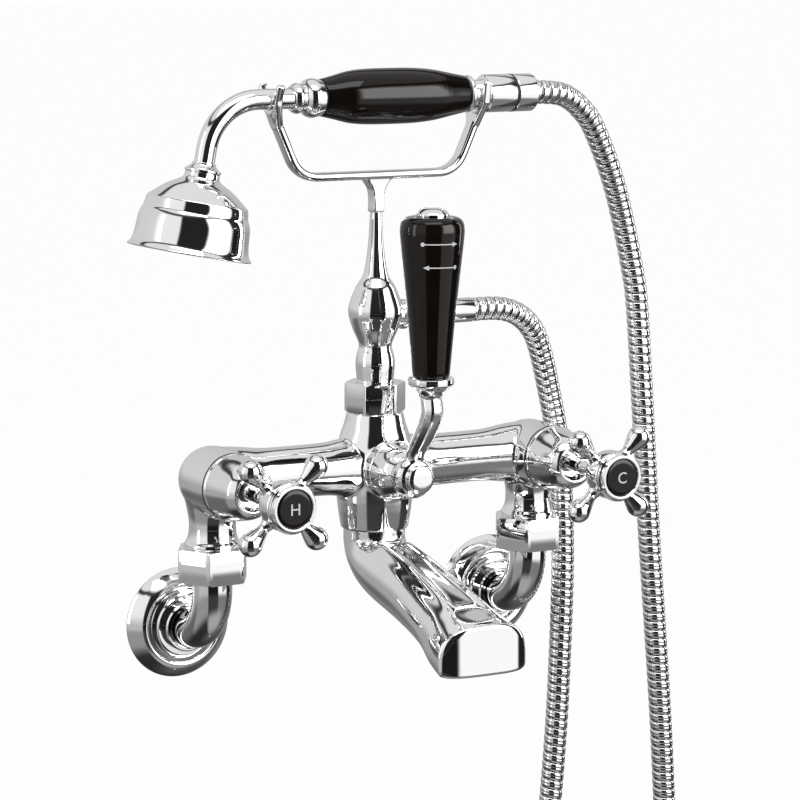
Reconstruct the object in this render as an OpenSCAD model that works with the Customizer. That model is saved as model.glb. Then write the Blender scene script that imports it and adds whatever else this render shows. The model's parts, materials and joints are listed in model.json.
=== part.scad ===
// Wall mounted bath shower mixer with crosshead valves, lever diverter, cradle and handset.
// Frame: the origin is on the wall midway between the two inlets, +X right, +Y into the wall, +Z up.
// "Out" is a distance from the wall towards the user, along -Y.

/* [Inlets] */
// Distance between the hot and cold inlets
inlet_centres = 180; // [150:1:220]
// Distance from the wall to the axis of the bridge
axis_out = 41; // [38:0.5:60]
// Height of the bridge axis above the inlets
axis_up = 79; // [76:0.5:100]
// Outside diameter of the inlet pipe
pipe_d = 19.4; // [17:0.1:20]
// Bore of the inlet pipe
pipe_bore_d = 15; // [10:0.5:15.5]
// Centre line radius of the elbow
elbow_r = 25; // [22:0.5:26]
// Diameter of the threaded tail in the wall
tail_d = 20.96; // [20:0.02:26]
// Length of the threaded tail
tail_len = 15; // [10:0.5:30]

/* [Wall flanges] */
// Diameter of the cover flange
flange_d = 55.5; // [48:0.5:70]
// Height of the flange dome above the wall
flange_dome_h = 8.5; // [6:0.5:10]
// Diameter of the raised inner lip
flange_lip_d = 31; // [28:0.5:34]
// Height of the raised inner lip
flange_lip_h = 10.5; // [9:0.5:12]
// Diameter of the collar round the pipe
flange_collar_d = 25; // [24:0.5:27]
// Height of the collar
flange_collar_h = 14.5; // [13:0.5:15]

/* [Unions] */
// Width across flats of the union nut
union_af = 32; // [30:0.5:36]
// Height of the union nut
union_h = 16.4; // [14:0.2:18]
// Height of the underside of the union nut above the inlets
union_up = 29.2; // [27:0.2:31]
// Thickness of the lip under the union nut
union_lip = 3; // [2:0.5:4]
// Thickness of the union washer
washer_t = 1.5; // [1:0.1:2]
// Diameter of the threaded spigot on the leg
spigot_d = 25; // [23:0.5:27]

/* [Bridge body] */
// Diameter of the valve barrels
barrel_d = 33; // [30:0.5:36]
// Distance from the wall to the joint between barrel and bonnet
seam_out = 64.6; // [62:0.2:72]
// Diameter of the arms
arm_d = 26; // [24:0.5:28]
// Diameter of the flare at the ends of the arms
arm_flare_d = 31; // [29:0.5:32]
// Diameter of the legs at the waist
leg_waist_d = 23; // [21:0.5:25]
// Diameter of the legs above the union
leg_foot_d = 26.4; // [26:0.2:28]
// Largest diameter of the central body
body_d = 39; // [37:0.5:44]
// Diameter of the central body at the top
body_top_d = 28; // [27:0.5:30]
// Diameter of the central body at the foot
body_foot_d = 33.8; // [33:0.2:37]
// Height of the central body above its axis
body_top_h = 27.4; // [24:0.2:32]
// Depth of the central body below its axis
body_foot_h = 31.6; // [28:0.2:36]
// Bore of the waterways
water_d = 16; // [10:0.5:17]

/* [Valve heads] */
// Length of the bonnet in front of the barrel
bonnet_len = 22; // [18:0.5:26]
// Diameter of the bonnet at its nose
bonnet_nose_d = 23; // [20:0.5:26]
// Diameter of the bore of the barrel
chamber_d = 21; // [19:0.5:23]
// Diameter of the valve spindle
spindle_d = 8; // [7:0.5:9]
// Thickness of each ceramic disc
disc_t = 3; // [2:0.5:4]

/* [Crossheads] */
// Distance from the wall to the back of the crosshead hub
hub_out = 106; // [104:0.5:112]
// Length of the crosshead hub
hub_len = 17.5; // [15:0.5:20]
// Diameter of the crosshead hub
hub_d = 24; // [22:0.5:26]
// Distance from the hub axis to the tip of an arm
cross_reach = 29.5; // [26:0.5:34]
// Diameter of the pear shaped end of an arm
pear_d = 10.2; // [8:0.2:11]
// Diameter of the neck of an arm
pear_neck_d = 5.4; // [4:0.2:7]
// Diameter of the bezel
bezel_d = 24.4; // [22:0.2:26]
// Length of the bezel
bezel_len = 5.7; // [4:0.1:7]
// Diameter of the index disc
index_d = 18.4; // [14:0.2:19]

/* [Diverter] */
// Diameter of the diverter bonnet
boss_d = 28; // [26:0.5:30]
// Distance from the wall to the front of the diverter bonnet
boss_out = 76; // [72:0.5:80]
// Diameter of the lever hub
lever_hub_d = 21; // [19:0.5:24]
// Length of the lever hub
lever_hub_len = 9; // [7:0.5:12]
// Diameter of the cap on the lever hub
cap_d = 14.4; // [12:0.2:17]
// Length of the cap
cap_len = 4.5; // [3:0.5:6]
// Distance from the wall to the axis of the lever grip
grip_out = 97; // [95:0.5:104]
// Height of the collar under the grip above the diverter axis
collar_up = 42; // [40:0.5:50]
// Diameter of the collar under the grip
collar_d = 22.4; // [20:0.2:26]
// Length of the lever grip
lever_len = 77.5; // [60:0.5:95]
// Diameter of the lever grip at its foot
lever_foot_d = 18; // [15:0.5:20]
// Diameter of the lever grip near its top
lever_top_d = 31; // [27:0.5:34]
// Diameter of the end button
button_d = 16; // [12:0.5:20]

/* [Spout] */
// Distance from the wall to the front face of the spout
spout_reach = 149; // [140:1:165]
// Diameter of the spout under the body
spout_d = 31; // [28:0.5:33]
// Width of the mouth of the spout
mouth_w = 46; // [40:0.5:52]
// Height of the front face of the spout
mouth_h = 25; // [22:0.5:30]
// Diameter of the outlet under the mouth
outlet_d = 19; // [12:0.5:20]
// Height of the two ridges along the top of the spout
ridge_h = 2.2; // [0:0.1:3]

/* [Riser] */
// Width across flats of the riser nut
riser_af = 27; // [25:0.5:30]
// Height of the riser nut
riser_nut_h = 14.6; // [12:0.2:18]
// Diameter of the riser above the nut
riser_d = 19; // [17:0.5:20]
// Diameter of the waist of the riser
riser_waist_d = 16.6; // [15:0.2:19]
// Diameter of the bulb of the riser
riser_bulb_d = 27; // [23:0.2:30]
// Diameter of the riser where the cradle sits
riser_tip_d = 6; // [5:0.2:8]
// Height of the riser from the top of its nut to the cradle
riser_h = 84.6; // [80:0.2:110]
// Diameter of the hose sleeve
sleeve_d = 12.4; // [11:0.2:14]
// Length of the hose sleeve
sleeve_len = 37.6; // [30:0.2:38]
// Diameter of the collar behind the hose sleeve
hose_collar_d = 15; // [14:0.5:18]

/* [Cradle] */
// Height of the stem from the riser to the middle of the bar
stem_h = 18.4; // [14:0.2:26]
// Width of the stem
stem_w = 6; // [5.5:0.1:8]
// Thickness of the bar and arms
bar_t = 4.2; // [3:0.1:6]
// Depth of the bar and arms from front to back
bar_depth = 8.4; // [7:0.2:11]
// Height from the middle of the bar to the axis of the handset
handset_up = 38.5; // [34:0.5:50]
// Thickness of the fork prongs
prong_t = 3; // [2.4:0.1:4]
// Width of the forks along the handset
fork_w = 4.4; // [3.5:0.1:4.8]
// Height of the prongs above the handset axis
prong_up = 6.8; // [3:0.2:8]

/* [Handset] */
// Diameter of the neck pipe
neck_d = 10; // [9:0.2:10.4]
// Bore of the neck pipe
neck_bore_d = 7; // [5:0.2:7.4]
// Centre line radius of the bend of the neck
neck_r = 28; // [24:0.5:34]
// Angle through which the neck bends
neck_turn = 79.2; // [70:0.2:90]
// Length of the straight neck above the rose
neck_drop = 11.8; // [8:0.2:20]
// Length of straight neck past the left fork
neck_past = 7.5; // [7:0.5:15]
// Distance from the middle of the cradle to the front end of the grip
grip_front = 31.7; // [30:0.1:34]
// Length of the grip
grip_len = 81.6; // [76:0.1:90]
// Largest diameter of the grip
grip_d = 27.6; // [24:0.2:32]
// Diameter of the ends of the grip
grip_end_d = 18.4; // [17:0.2:20]
// Diameter of the tail that lies in the right fork
tail_neck_d = 14; // [12:0.2:14.4]
// Diameter of the tail sleeve and of the hose nut
tail_sleeve_d = 19; // [18:0.2:21]
// Length of the hose nut
hose_nut_len = 13.6; // [11:0.1:16]
// Height of the rose bell
bell_h = 39; // [34:0.5:46]
// Diameter of the lip of the rose bell
bell_d = 60.6; // [54:0.2:66]
// Wall thickness of the rose bell
bell_wall = 2; // [1.5:0.1:3]
// Diameter of the spray holes
spray_d = 1.8; // [1:0.1:2.2]

/* [Hose] */
// Outside diameter of the hose
hose_d = 12; // [10:0.1:12.4]
// Bore of the hose
hose_bore_d = 8; // [6:0.1:8.4]
// Depth of the grooves between the ribs
rib_depth = 0.9; // [0.4:0.1:1.2]
// Length of hose for each rib
rib_pitch = 6.4; // [6.4:0.1:12]

/* [Fits] */
// Radial clearance of turning spindles
run_gap = 0.06; // [0.03:0.01:0.1]
// Clearance between pieces that are assembled without force
fit_gap = 0.1; // [0.05:0.01:0.2]
// Clearance between curved pieces that move apart
free_gap = 0.3; // [0.3:0.05:0.5]

/* [Hidden] */
$fn = 64;
chrome = "silver";
dark = [0.16, 0.14, 0.13];
ceramic = "white";
seal = [0.2, 0.2, 0.2];
hot_x = -inlet_centres / 2;
cold_x = inlet_centres / 2;
over = 1;
pipe_r = pipe_d / 2;
barrel_r = barrel_d / 2;
body_r = body_d / 2;
chamber_r = chamber_d / 2;
spindle_r = spindle_d / 2;
hub_r = hub_d / 2;
neck_pipe_r = neck_d / 2;

// Union stack, from the lip of the nut up to the spigot of the leg
elbow_collar_t = 2;
union_lip_up = union_up + union_lip;
washer_up = union_lip_up + elbow_collar_t;
spigot_up = washer_up + washer_t;
union_top = union_up + union_h;
leg_ring_h = 2.6;

// Valve stack, measured out from the wall
chamber_out = axis_out - water_d / 2 - 1.5;
disc_out = axis_out + 8.5;
moving_out = disc_out + disc_t + fit_gap;
drive_out = moving_out + disc_t;
drive_t = 3;
drive_r = chamber_r - 2.5;
nose_out = seam_out + bonnet_len;
bezel_out = hub_out + hub_len;
index_out = bezel_out + bezel_len;
index_t = 3;

// Diverter stack, measured out from the wall
boss_seat_out = axis_out + body_r + 1.5;
boss_root_out = axis_out + 6;
diverter_stem_r = 4.5;
plug_out = axis_out - 9.5;
plug_len = 16;
plug_r = chamber_r - free_gap;
diverter_spigot_out = plug_out + plug_len + free_gap;
lever_hub_out = boss_out + free_gap;
cap_out = lever_hub_out + lever_hub_len;
collar_z = axis_up + collar_up;
collar_h = 10;
lever_z = collar_z + collar_h;
lever_top_z = lever_z + lever_len;
rod_r = 3;
rod_seat = 6;
rod_end = 2.4;

// Riser stack, measured up from the inlets
body_top_z = axis_up + body_top_h;
body_foot_z = axis_up - body_foot_h;
riser_spigot_r = riser_d / 2 + 0.7;
riser_spigot_h = 7;
riser_collar_t = 2.5;
riser_nut_top = body_top_z + riser_nut_h;
riser_washer_z = body_top_z + riser_spigot_h;
riser_foot_z = riser_washer_z + washer_t;
riser_lip_z = riser_foot_z + riser_collar_t;
riser_bore_r = 6;
outlet_up = 33;
outlet_z = riser_nut_top + outlet_up;
outlet_bore_r = 4;
stub_end_x = riser_bulb_d / 2 + 0.1;
hose_collar_len = 3.4;
sleeve_x = stub_end_x + hose_collar_len;
hose_start_x = sleeve_x + sleeve_len;
cradle_z = riser_nut_top + riser_h;
cradle_stud_r = 1.5;
cradle_stud_h = 6;

// Cradle and handset places
arm_lean = 66;
root_h = 6;
bar_z = cradle_z + stem_h;
handset_z = bar_z + handset_up;
ferrule_len = 15.7;
ferrule_x = -grip_front - ferrule_len;
ferrule_step_x = ferrule_x + 6.3;
grip_rear_x = grip_len - grip_front;
rear_ring_len = 2.8;
tail_x = grip_rear_x + rear_ring_len;
tail_neck_len = 7.5;
tail_sleeve_x = tail_x + tail_neck_len;
fork_side_gap = 0.5;
fork_x = tail_sleeve_x - fork_side_gap - fork_w / 2;
neck_out = fork_x + neck_past;
tail_sleeve_len = 15.8;
hose_nut_x = tail_sleeve_x + tail_sleeve_len;
hose_nut_floor = 2.5;
hose_nut_end = hose_nut_x + hose_nut_len;
hose_end_x = hose_nut_x + hose_nut_floor;
neck_end_x = tail_x + 5;
rose_tilt = 90 - neck_turn;
neck_in_bell = 4;

// Points on an arc, from one angle to another
function arc(cx, cy, r, from, to, steps = 8) = [
    for (i = [0:steps])
        let (a = from + (to - from) * i / steps)
        [cx + r * cos(a), cy + r * sin(a)]
];

// One point of a smooth curve between b and c, with a and d as the points beyond them
function between(a, b, c, d, t) =
    (2 * b + (c - a) * t + (2 * a - 5 * b + 4 * c - d) * t * t + (3 * b - a - 3 * c + d) * t * t * t) / 2;

// A point of a list, continued in a straight line past both ends
function nth(p, i) =
    i < 0 ? 2 * p[0] - p[1]
    : i >= len(p) ? 2 * p[len(p) - 1] - p[len(p) - 2]
    : p[i];

// A point on the smooth curve through a list, in stretch i
function on_curve(p, i, t) = between(nth(p, i - 1), nth(p, i), nth(p, i + 1), nth(p, i + 2), t);

// A smooth curve through a short list of points
function smooth(p, steps = 4) = concat(
    [for (i = [0:len(p) - 2]) for (k = [0:steps - 1]) on_curve(p, i, k / steps)],
    [p[len(p) - 1]]
);

function reversed(p) = [for (i = [len(p) - 1:-1:0]) p[i]];

// Turned pieces and round bores close on themselves along a line that is kept off the planes of symmetry
seam_turn = 37;
module lathe(outline) rotate([0, 0, seam_turn]) rotate_extrude() polygon(outline);
module rod(r, h) rotate([0, 0, seam_turn]) cylinder(r = r, h = h);

// Turns the local +Z axis to point out from the wall
module facing_out(x, z) translate([x, 0, z]) rotate([90, 0, 0]) children();

// Turns the local +Z axis to point along +X, at a height on the plane of the handset
module along_x(z) translate([0, -axis_out, z]) rotate([0, 90, 0]) children();

module tube(r, bore_r, from, to) lathe([[bore_r, from], [r, from], [r, to], [bore_r, to]]);

// A hexagon with both ends turned off to a chamfer
module hexagon(flats, height) {
    corner_r = flats / 2 / cos(30);
    chamfer = 0.9;
    chamfer_h = 0.8;
    intersection() {
        cylinder(r = corner_r, h = height, $fn = 6);
        lathe([
            [0, 0], [corner_r - chamfer, 0], [corner_r, chamfer_h],
            [corner_r, height - chamfer_h], [corner_r - chamfer, height], [0, height]
        ]);
    }
}

// A closed skin over a stack of rings that all have the same number of points
module loft(rings) {
    sides = len(rings[0]);
    last = (len(rings) - 1) * sides;
    skin = [
        for (r = [0:len(rings) - 2]) for (k = [0:sides - 1])
            let (a = r * sides + k, b = r * sides + (k + 1) % sides)
            each [[a, b, a + sides], [b, b + sides, a + sides]]
    ];
    caps = [[for (k = [sides - 1:-1:0]) k], [for (k = [0:sides - 1]) last + k]];
    polyhedron([for (r = rings) each r], concat(skin, caps));
}

// A pipe as one closed skin: its rings run along the outside and back along the inside
module pipe_skin(rings) {
    sides = len(rings[0]);
    count = len(rings);
    faces = [
        for (r = [0:count - 1]) for (k = [0:sides - 1])
            let (
                a = r * sides + k,
                b = r * sides + (k + 1) % sides,
                c = (r + 1) % count * sides + k,
                d = (r + 1) % count * sides + (k + 1) % sides
            )
            each [[a, b, c], [b, d, c]]
    ];
    polyhedron([for (r = rings) each r], faces);
}

// Inlet pipe with its threaded tail, bent up into the union
module elbow_path(r, tail_r, shoulder_r) {
    facing_out(0, 0) {
        translate([0, 0, -tail_len]) cylinder(r = tail_r, h = tail_len);
        cylinder(r = shoulder_r, h = flange_collar_h - free_gap);
        cylinder(r = r, h = axis_out - elbow_r);
    }
    translate([0, elbow_r - axis_out, elbow_r])
        rotate([90, 0, -90])
        rotate([0, 0, -90])
        rotate_extrude(angle = 90)
        translate([elbow_r, 0])
        circle(r = r);
    translate([0, -axis_out, elbow_r]) cylinder(r = r, h = washer_up - elbow_r);
}

module wall_elbow(x) {
    color(chrome) translate([x, 0, 0]) difference() {
        union() {
            elbow_path(pipe_r, tail_d / 2, tail_d / 2 - free_gap);
            translate([0, -axis_out, union_lip_up]) cylinder(d = spigot_d - 2 * fit_gap, h = elbow_collar_t);
        }
        elbow_path(pipe_bore_d / 2, pipe_bore_d / 2, pipe_bore_d / 2);
    }
}

module wall_flange(x) {
    r = flange_d / 2;
    bore_r = tail_d / 2 + free_gap;
    lip_r = flange_lip_d / 2;
    collar_r = flange_collar_d / 2;
    rim = 1.4;
    hollow = 2.2;
    edge = 0.7;
    color(chrome) facing_out(x, 0) lathe(concat(
        [[bore_r, 0], [r, 0]],
        smooth([[r, rim], [r - 2.6, 5], [r - 7, flange_dome_h], [lip_r + 1.6, flange_dome_h - hollow]]),
        [
            [lip_r, flange_dome_h - hollow], [lip_r, flange_lip_h - edge], [lip_r - edge, flange_lip_h],
            [collar_r, flange_lip_h], [collar_r, flange_collar_h - edge],
            [collar_r - edge, flange_collar_h], [bore_r, flange_collar_h]
        ]
    ));
}

module union_nut(x) {
    color(chrome) translate([x, -axis_out, 0]) difference() {
        translate([0, 0, union_up]) hexagon(union_af, union_h);
        translate([0, 0, union_up - over]) cylinder(r = pipe_r + free_gap, h = union_h);
        translate([0, 0, union_lip_up]) cylinder(d = spigot_d + 2 * fit_gap, h = union_h);
    }
}

module union_washer(x) {
    color(seal) translate([x, -axis_out, 0])
        tube(spigot_d / 2 - fit_gap, water_d / 2, washer_up, spigot_up);
}

// Central casting, from the seat of the spout up to the spigot of the riser
module central_casting() {
    widest_down = 2;
    side = smooth([
        [body_foot_d / 2, body_foot_z],
        [body_r - 0.6, axis_up - body_foot_h * 0.54],
        [body_r, axis_up - widest_down],
        [body_r - 1.6, axis_up + body_top_h * 0.48],
        [body_top_d / 2 + 1.3, axis_up + body_top_h * 0.78],
        [body_top_d / 2, body_top_z]
    ], 3);
    translate([0, -axis_out, 0]) lathe(concat(
        [[0, body_foot_z]], side,
        [[riser_spigot_r, body_top_z], [riser_spigot_r, riser_washer_z], [0, riser_washer_z]]
    ));
    facing_out(0, axis_up) translate([0, 0, boss_root_out]) rod(boss_d / 2, boss_seat_out - boss_root_out);
}

// One valve end: the ball with its barrel, and the waisted leg under it
module valve_casting(x) {
    ring_top = union_top + leg_ring_h;
    waist_z = axis_up - barrel_r - 4.5;
    facing_out(x, axis_up) lathe(concat(
        arc(0, axis_out, barrel_r, -90, 0, 10),
        [[barrel_r, seam_out], [0, seam_out]]
    ));
    translate([x, -axis_out, 0]) lathe(concat(
        [
            [0, spigot_up], [spigot_d / 2, spigot_up], [spigot_d / 2, union_top],
            [leg_foot_d / 2 + 0.8, union_top], [leg_foot_d / 2 + 0.8, ring_top]
        ],
        smooth([
            [leg_foot_d / 2, ring_top], [leg_waist_d / 2 + 0.3, waist_z - 6],
            [leg_waist_d / 2, waist_z], [leg_waist_d / 2 + 0.9, waist_z + 6],
            [barrel_r - 2.6, waist_z + 13]
        ]),
        [[0, waist_z + 13]]
    ));
}

// One arm of the bridge, flared into the valve and into the central casting
module bridge_arm(side) {
    r = arm_d / 2;
    flare_r = arm_flare_d / 2;
    outline = smooth([
        [flare_r - 0.5, 8], [flare_r - 0.6, 14], [r + 1.2, 20], [r + 0.2, 28], [r, 40],
        [r, cold_x - 34], [r + 0.4, cold_x - 25], [r + 1.5, cold_x - 17],
        [flare_r - 0.2, cold_x - 10], [flare_r, cold_x - 4.5]
    ], 3);
    mirror([side < 0 ? 1 : 0, 0, 0]) along_x(axis_up)
        lathe(concat([[0, 8]], outline, [[0, cold_x - 4.5]]));
}

module body_waterways() {
    water_r = water_d / 2;
    for (x = [hot_x, cold_x]) {
        facing_out(x, axis_up) translate([0, 0, chamber_out]) rod(chamber_r, seam_out);
        translate([x, -axis_out, spigot_up - over]) rod(water_r, axis_up - spigot_up + over);
    }
    along_x(axis_up) translate([0, 0, hot_x]) rod(water_r - 1, inlet_centres);
    translate([0, -axis_out, body_foot_z - over]) rod(water_r, riser_washer_z - body_foot_z + 2 * over);
    facing_out(0, axis_up) translate([0, 0, plug_out - free_gap]) rod(chamber_r, boss_seat_out);
}

module mixer_body() {
    color(chrome) difference() {
        union() {
            central_casting();
            for (x = [hot_x, cold_x]) valve_casting(x);
            for (side = [-1, 1]) bridge_arm(side);
        }
        body_waterways();
    }
}

// Valve head housing: a convex cone with a bright ring at its foot and a hollow nose round the spindle
module bonnet(x) {
    bore_r = spindle_r + run_gap;
    spigot_r = chamber_r - fit_gap;
    inner_r = drive_r + free_gap;
    nose_r = bonnet_nose_d / 2;
    foot = 1.4;
    groove = 0.5;
    hollow = 4;
    packing_out = drive_out + drive_t + free_gap;
    color(chrome) facing_out(x, axis_up) lathe(concat(
        [
            [bore_r, packing_out], [inner_r, packing_out], [inner_r, disc_out + disc_t],
            [spigot_r, disc_out + disc_t], [spigot_r, seam_out],
            [barrel_r, seam_out], [barrel_r, seam_out + foot],
            [barrel_r - groove, seam_out + foot + groove]
        ],
        smooth([
            [barrel_r - groove, seam_out + foot + 2 * groove],
            [barrel_r - 1.5, seam_out + bonnet_len * 0.4],
            [nose_r + 1.6, nose_out - 4.5],
            [nose_r, nose_out - 1.6],
            [nose_r - 1.6, nose_out]
        ]),
        [[nose_r - 3, nose_out], [spindle_r + 2.4, nose_out - hollow], [bore_r, nose_out - hollow]]
    ));
}

// Ceramic disc with two ports
module ceramic_disc(x, out, r) {
    port_r = r * 0.26;
    color(ceramic) facing_out(x, axis_up) translate([0, 0, out]) difference() {
        cylinder(r = r, h = disc_t);
        for (side = [-1, 1])
            translate([0, side * r * 0.55, -over]) cylinder(r = port_r, h = disc_t + 2 * over);
    }
}

module fixed_disc(x) ceramic_disc(x, disc_out, chamber_r - fit_gap);
module moving_disc(x) ceramic_disc(x, moving_out, drive_r);

module spindle(x) {
    color(chrome) facing_out(x, axis_up) lathe([
        [0, drive_out], [drive_r, drive_out], [drive_r, drive_out + drive_t],
        [spindle_r, drive_out + drive_t], [spindle_r, bezel_out - 2], [0, bezel_out - 2]
    ]);
}

// Pear shaped arm of a crosshead, along local +Z from the axis of the hub
module pear_arm() {
    neck_r = pear_neck_d / 2;
    bulb_r = pear_d / 2;
    bulb_at = cross_reach - bulb_r;
    lathe(concat(
        [[0, spindle_r + 2]],
        smooth([
            [neck_r + 1.6, spindle_r + 2], [neck_r + 0.7, hub_r - 0.4], [neck_r, hub_r + 3],
            [bulb_r - 0.9, bulb_at - 3.4]
        ], 3),
        arc(0, bulb_at, bulb_r, -12, 90, 7)
    ));
}

// Bell shaped hub with four arms on the diagonals
module crosshead(x) {
    arm_out = hub_out + hub_len * 0.62;
    back_r = spindle_r + 2.6;
    screw_floor = 2;
    color(chrome) facing_out(x, axis_up) difference() {
        union() {
            lathe(concat(
                [[0, hub_out]],
                smooth([
                    [back_r, hub_out], [back_r + 1.4, hub_out + 2.6], [hub_r - 1.4, hub_out + 6],
                    [hub_r, hub_out + hub_len * 0.6], [hub_r - 0.3, bezel_out - 1.2],
                    [hub_r - 1, bezel_out]
                ]),
                [[0, bezel_out]]
            ));
            for (turn = [45:90:315])
                translate([0, 0, arm_out]) rotate([0, 0, turn]) rotate([0, 90, 0]) pear_arm();
        }
        translate([0, 0, hub_out - over]) cylinder(r = spindle_r + fit_gap, h = hub_len - screw_floor + over);
    }
}

// Stepped ring round the index disc
module bezel(x) {
    r = bezel_d / 2;
    seat_r = index_d / 2 + fit_gap;
    step = 0.9;
    color(chrome) facing_out(x, axis_up) lathe([
        [0, bezel_out], [r - 2 * step, bezel_out], [r - step, bezel_out + step],
        [r, bezel_out + 2 * step], [r, bezel_out + 3.4 * step], [r - step, bezel_out + 4.2 * step],
        [r - step, index_out - step], [r - 1.7 * step, index_out], [seat_r + 0.4 * step, index_out],
        [seat_r, index_out - 0.5 * step], [seat_r, index_out - index_t], [0, index_out - index_t]
    ]);
}

module index(x) {
    crown = 0.4;
    r = index_d / 2;
    color(dark) facing_out(x, axis_up) lathe([
        [0, index_out - index_t], [r, index_out - index_t], [r, index_out - 2 * crown],
        [r - 2 * crown, index_out - crown], [0, index_out]
    ]);
}

// Domed housing in front of the diverter chamber
module diverter_bonnet() {
    bore_r = diverter_stem_r + run_gap;
    spigot_r = chamber_r - fit_gap;
    r = boss_d / 2;
    front_r = lever_hub_d / 2 - 0.6;
    color(chrome) facing_out(0, axis_up) lathe(concat(
        [[bore_r, diverter_spigot_out], [spigot_r, diverter_spigot_out], [spigot_r, boss_seat_out]],
        smooth([
            [r, boss_seat_out], [r - 0.5, boss_out - 8], [r - 1.8, boss_out - 3.6], [front_r, boss_out]
        ]),
        [[bore_r, boss_out]]
    ));
}

// Diverter stem with a plug that opens one way at a time
module diverter_spindle() {
    port = 1.35 * plug_r;
    color("goldenrod") facing_out(0, axis_up) difference() {
        lathe([
            [0, plug_out], [plug_r, plug_out], [plug_r, plug_out + plug_len],
            [diverter_stem_r, plug_out + plug_len], [diverter_stem_r, cap_out], [0, cap_out]
        ]);
        translate([-plug_r, -port, plug_out - over]) cube([2 * plug_r, port - 0.3 * plug_r, plug_len - 2]);
    }
}

// One eight sided ring of the cranked stem, leaning with the path
function stem_ring(out, z, width, depth, lean) =
    let (w = width / 2, d = depth / 2, bevel = 0.32 * depth)
    [
        for (q = [
            [w, bevel - d], [w, d - bevel], [w - bevel, d], [bevel - w, d],
            [-w, d - bevel], [-w, bevel - d], [bevel - w, -d], [w - bevel, -d]
        ])
        [q[0], -out - q[1] * cos(lean), z - q[1] * sin(lean)]
    ];

// Hub on the diverter stem, and the stem that cranks forward and up to the grip
module diverter_lever() {
    r = lever_hub_d / 2;
    edge = 1.6;
    mid_out = lever_hub_out + lever_hub_len / 2;
    stations = smooth([
        [mid_out, axis_up + diverter_stem_r + 1.5, 9, 7.4, 0],
        [mid_out + 2, axis_up + r + 2, 9.6, 8, 30],
        [mid_out + 11, axis_up + r + 13, 10.6, 9, 36],
        [grip_out + 1.6, collar_z - 8, 10.6, 9.6, 12],
        [grip_out, collar_z, 10.4, 10.4, 0]
    ]);
    color(chrome) {
        difference() {
            union() {
                facing_out(0, axis_up) lathe([
                    [0, lever_hub_out], [r - edge, lever_hub_out], [r, lever_hub_out + edge],
                    [r, cap_out - 2 * edge], [r - edge, cap_out - edge / 2],
                    [r - 2 * edge, cap_out], [0, cap_out]
                ]);
                loft([for (s = stations) stem_ring(s[0], s[1], s[2], s[3], s[4])]);
            }
            facing_out(0, axis_up) translate([0, 0, lever_hub_out - over])
                cylinder(r = diverter_stem_r + fit_gap, h = lever_hub_len + 2 * over);
        }
    }
}

module diverter_cap() {
    r = cap_d / 2;
    rim = 0.8;
    color(chrome) facing_out(0, axis_up) lathe(concat(
        [[0, cap_out], [r - rim, cap_out], [r, cap_out + rim], [r, cap_out + cap_len - 2 * rim]],
        smooth([
            [r - rim, cap_out + cap_len - rim], [r * 0.6, cap_out + cap_len - 0.3 * rim],
            [0, cap_out + cap_len]
        ], 3)
    ));
}

// Places a turned piece on the axis of the lever grip
module on_grip_axis() translate([0, -grip_out, 0]) children();

module lever_collar() {
    r = collar_d / 2;
    band_h = 3.6;
    color(chrome) on_grip_axis() difference() {
        lathe(concat(
            [[0, collar_z]],
            smooth([
                [5.6, collar_z], [6.2, collar_z + 1.6], [8.4, collar_z + 4],
                [r - 0.8, lever_z - band_h - 0.8]
            ]),
            [
                [r, lever_z - band_h], [r, lever_z - 0.9], [r - 0.9, lever_z - 0.4],
                [lever_foot_d / 2 + 0.4, lever_z], [0, lever_z]
            ]
        ));
        translate([0, 0, lever_z - rod_seat]) cylinder(r = rod_r + fit_gap, h = rod_seat + over);
    }
}

module lever_rod() {
    color("goldenrod") on_grip_axis() translate([0, 0, lever_z - rod_seat])
        cylinder(r = rod_r, h = rod_seat + lever_len + rod_end);
}

// Dark grip, widening upwards to a rounded shoulder
module lever_grip() {
    foot_r = lever_foot_d / 2;
    top_r = lever_top_d / 2;
    shoulder_z = lever_top_z - 12.5;
    color(dark) on_grip_axis() lathe(concat(
        [[rod_r + fit_gap, lever_z], [foot_r - 0.5, lever_z]],
        smooth([
            [foot_r, lever_z + 0.8], [foot_r * 0.5 + top_r * 0.47, lever_z + lever_len * 0.42],
            [top_r - 0.3, shoulder_z], [top_r, lever_top_z - 5.5], [top_r - 0.9, lever_top_z - 2.3],
            [top_r - 3, lever_top_z - 0.6], [button_d / 2 + 1.2, lever_top_z]
        ], 4),
        [[rod_r + fit_gap, lever_top_z]]
    ));
}

module lever_button() {
    r = button_d / 2;
    height = 4.2;
    color(chrome) on_grip_axis() difference() {
        lathe(concat(
            [[0, lever_top_z], [r, lever_top_z]],
            smooth([
                [r, lever_top_z + 1.2], [r - 1.3, lever_top_z + 2.6],
                [r * 0.55, lever_top_z + height - 0.4], [0, lever_top_z + height]
            ], 3)
        ));
        translate([0, 0, lever_top_z - over]) cylinder(r = rod_r + fit_gap, h = rod_end + over);
    }
}

// Power of a sine or cosine that keeps its sign, for rounded sections
function squared_off(value, power) = sign(value) * pow(abs(value), 2 / power);

// One ring of the spout: a rounded section with two ridges along its upper side
// A station holds out, height, width, section height, lean, how square its top and bottom are, ridges,
// and the share of the height above its widest place
function spout_ring(s, sides = 40) = [
    for (k = [0:sides - 1])
        let (
            a = 360 * k / sides,
            power = sin(a) >= 0 ? s[5] : s[6],
            across = s[2] / 2 * squared_off(cos(a), power),
            crest = (abs(across) - s[2] * 0.24) / 3,
            ridge = sin(a) > 0 ? s[7] * ridge_h * exp(-crest * crest) : 0,
            reach = sin(a) >= 0 ? s[8] : 1 - s[8],
            up = s[3] * (0.5 - s[8] + reach * squared_off(sin(a), power)) + ridge
        )
        [across, -s[0] - up * sin(s[4]), s[1] + up * cos(s[4])]
];

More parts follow.
